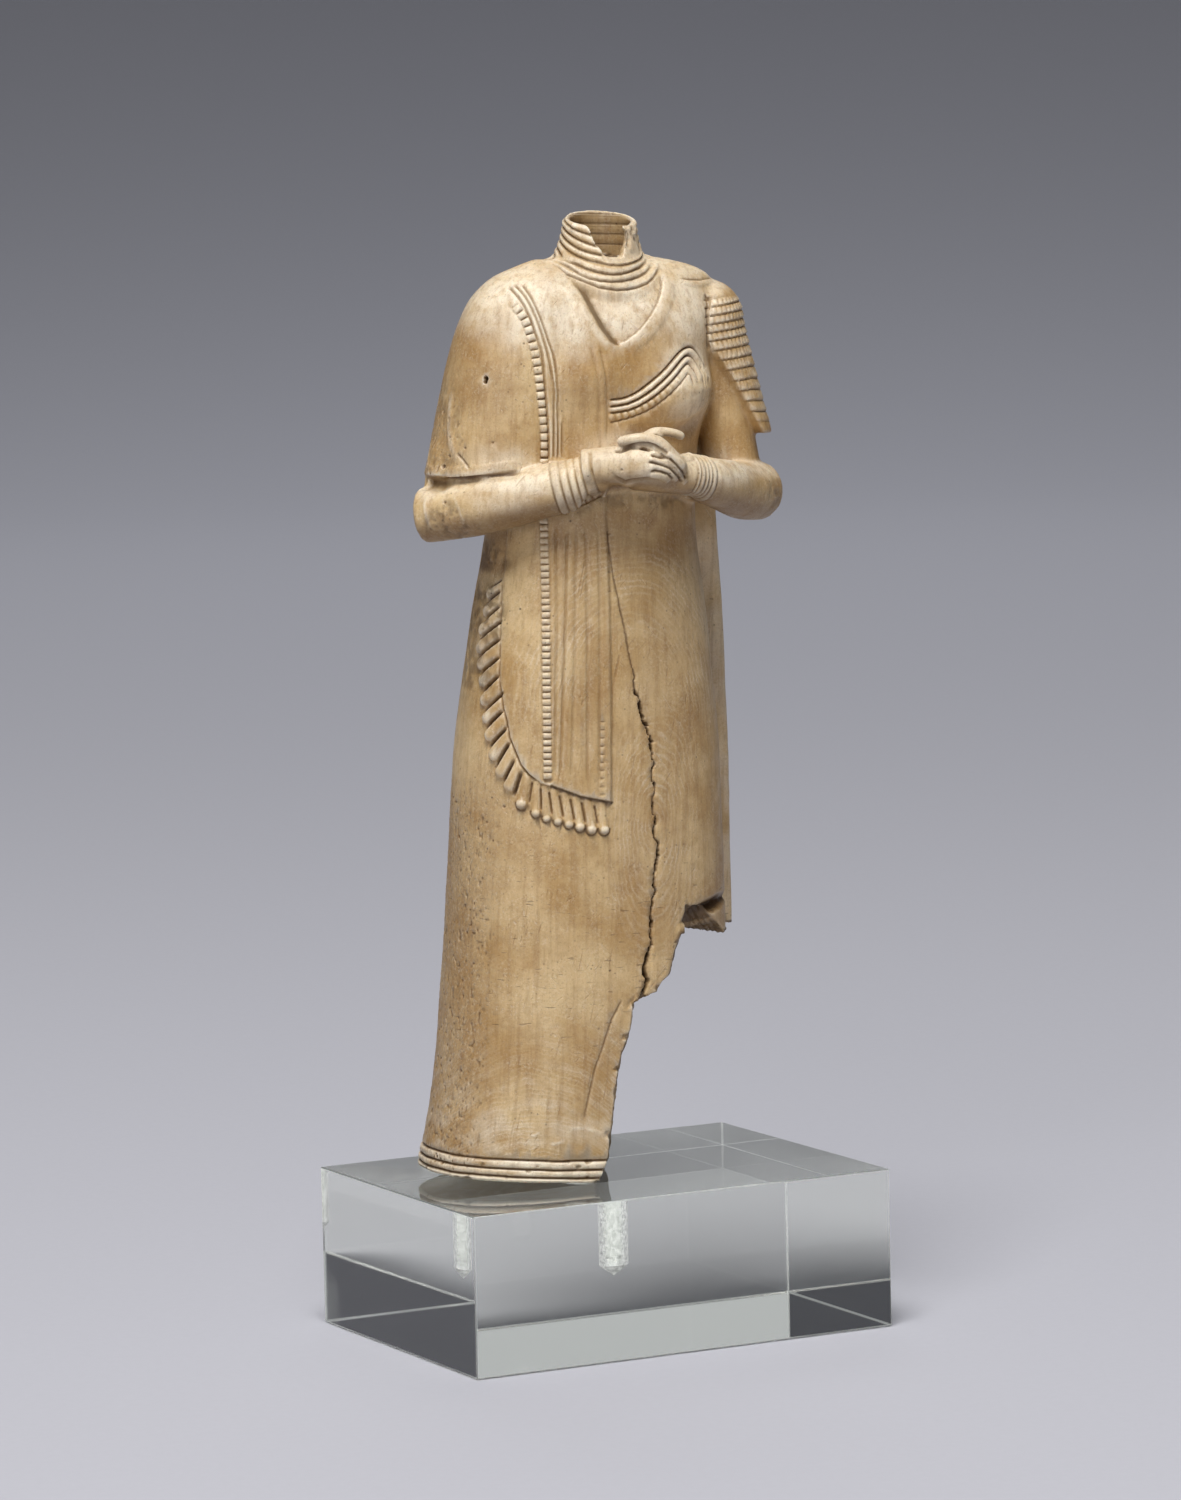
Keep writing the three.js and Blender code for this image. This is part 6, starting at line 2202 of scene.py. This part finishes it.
class StageSettings(bpy.types.PropertyGroup):
    """Floor, backdrop and lights."""

    paper: FloatVectorProperty(
        name="Paper", description="Colour of the backdrop paper", subtype="COLOR",
        default=(0.52, 0.525, 0.582),
    )
    floor_m: FloatProperty(
        name="Floor", description="Radius of the flat floor", default=1.4, unit="LENGTH"
    )
    key: FloatProperty(
        name="Overhead light", description="Power of the overhead light in watts", default=16.6
    )
    fill: FloatProperty(name="Fill light", description="Power of the front light in watts", default=3.1)
    card: FloatProperty(
        name="Reflector", description="Power of the panel that the acrylic reflects", default=1.15
    )
    far: FloatProperty(
        name="Backdrop light", description="Power of the light over the backdrop", default=3.4
    )
    ambient: FloatProperty(
        name="Ambient", description="Brightness of the light from all round", default=0.08
    )
    gap: FloatProperty(name="Gap", description="Air under the block, in millimetres", default=0.15)


def show(mesh, name, nodes, materials):
    """Shows a piece, painted, on the model's one body in place of its CAD nodes."""
    mesh.name = name
    kinds = np.zeros(len(mesh.polygons), np.int32)
    if len(materials) > 1:
        mesh.polygons.foreach_get("material_index", kinds)
    mesh.materials.clear()
    for material in materials:
        mesh.materials.append(material)
    mesh.polygons.foreach_set("material_index", kinds)
    piece = bpy.data.objects.new(name, mesh)
    bpy.context.scene.collection.objects.link(piece)
    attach(piece, "root")
    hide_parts(*nodes)


class FIGURINE_OT_carving(bpy.types.Operator):
    """Carves the ivory figurine"""

    bl_idname = "figurine.carving"
    bl_label = "Carved figurine"

    def execute(self, context):
        settings = context.scene.figurine_carving
        show(make_figurine(settings), "carved_figurine", ["figurine"], [ivory_material(settings)])
        return {"FINISHED"}


class FIGURINE_OT_mount(bpy.types.Operator):
    """Makes the drilled block and the rod of clear acrylic"""

    bl_idname = "figurine.mount"
    bl_label = "Acrylic mount"

    def execute(self, context):
        settings = context.scene.figurine_mount
        clear = acrylic_material("clear_acrylic", settings, 0.03)
        drilled = acrylic_material("drilled_acrylic", settings, 0.3, cloudy=True, glow=0.4)
        edges = acrylic_material("eased_acrylic", settings, 0.35, glow=0.13)
        show(make_block(settings), "clear_block", ["block"], [clear, drilled, edges])
        polished = acrylic_material("rod_acrylic", settings, 0.05)
        show(make_rod(), "clear_rod", ["rod"], [polished])
        return {"FINISHED"}


class FIGURINE_OT_stage(bpy.types.Operator):
    """Sets up the floor, the backdrop, the lights and the camera"""

    bl_idname = "figurine.stage"
    bl_label = "Stage"

    def execute(self, context):
        settings = context.scene.figurine_stage
        mesh = make_stage(settings)
        mesh.materials.append(stage_material(settings))
        mesh.transform(Matrix.Translation((0, 0, -settings.gap * MM)))
        floor = bpy.data.objects.new("floor", mesh)
        context.scene.collection.objects.link(floor)
        target, warm, cool = (0.0, 0.0, 0.06), (1.0, 0.985, 0.96), (0.97, 0.98, 1.0)
        add_light("overhead", (-0.3, -0.4, 1.2), target, (0.6, 0.6), settings.key, warm)
        add_light("front", (-0.8, -0.8, 0.5), target, (0.5, 0.5), settings.fill, warm)
        add_light("backdrop_light", (0.6, 1.15, 0.95), (0.6, 1.15, 0.0), (0.8, 0.8), settings.far, cool)
        white, size = (0.96, 0.98, 1.0), (1.9, 0.42)
        card = add_light("card", (1.06, 2.04, 0.34), (0.0, 0.0, 0.02), size, settings.card, white)
        card.visible_camera = False
        card.visible_diffuse = False
        world = bpy.data.worlds.new("studio")
        world.use_nodes = True
        shade = world.node_tree.nodes["Background"]
        shade.inputs["Color"].default_value = (0.93, 0.95, 1.0, 1)
        shade.inputs["Strength"].default_value = settings.ambient
        context.scene.world = world
        context.scene.view_settings.view_transform = "Standard"
        add_camera()
        return {"FINISHED"}


# Each button and the settings that it uses
BUTTONS = (
    (FIGURINE_OT_carving, "figurine_carving"),
    (FIGURINE_OT_mount, "figurine_mount"),
    (FIGURINE_OT_stage, "figurine_stage"),
)


class FIGURINE_PT_panel(bpy.types.Panel):
    """Buttons for the figurine, its mount and its stage"""

    bl_label = "Carved figurine"
    bl_space_type = "VIEW_3D"
    bl_region_type = "UI"
    bl_category = "Figurine"

    def draw(self, context):
        for operator, group in BUTTONS:
            self.layout.operator(operator.bl_idname)
            settings = getattr(context.scene, group)
            for name in settings.__annotations__:
                self.layout.prop(settings, name)


CLASSES = (
    FigurineSettings, MountSettings, StageSettings, FIGURINE_OT_carving, FIGURINE_OT_mount,
    FIGURINE_OT_stage, FIGURINE_PT_panel,
)


def register():
    for each in CLASSES:
        bpy.utils.register_class(each)
    bpy.types.Scene.figurine_carving = bpy.props.PointerProperty(type=FigurineSettings)
    bpy.types.Scene.figurine_mount = bpy.props.PointerProperty(type=MountSettings)
    bpy.types.Scene.figurine_stage = bpy.props.PointerProperty(type=StageSettings)


def unregister():
    for _, group in BUTTONS:
        delattr(bpy.types.Scene, group)
    for each in reversed(CLASSES):
        bpy.utils.unregister_class(each)


def main():
    register()
    bpy.ops.figurine.carving()
    bpy.ops.figurine.mount()
    bpy.ops.figurine.stage()


if __name__ == "__main__":
    main()
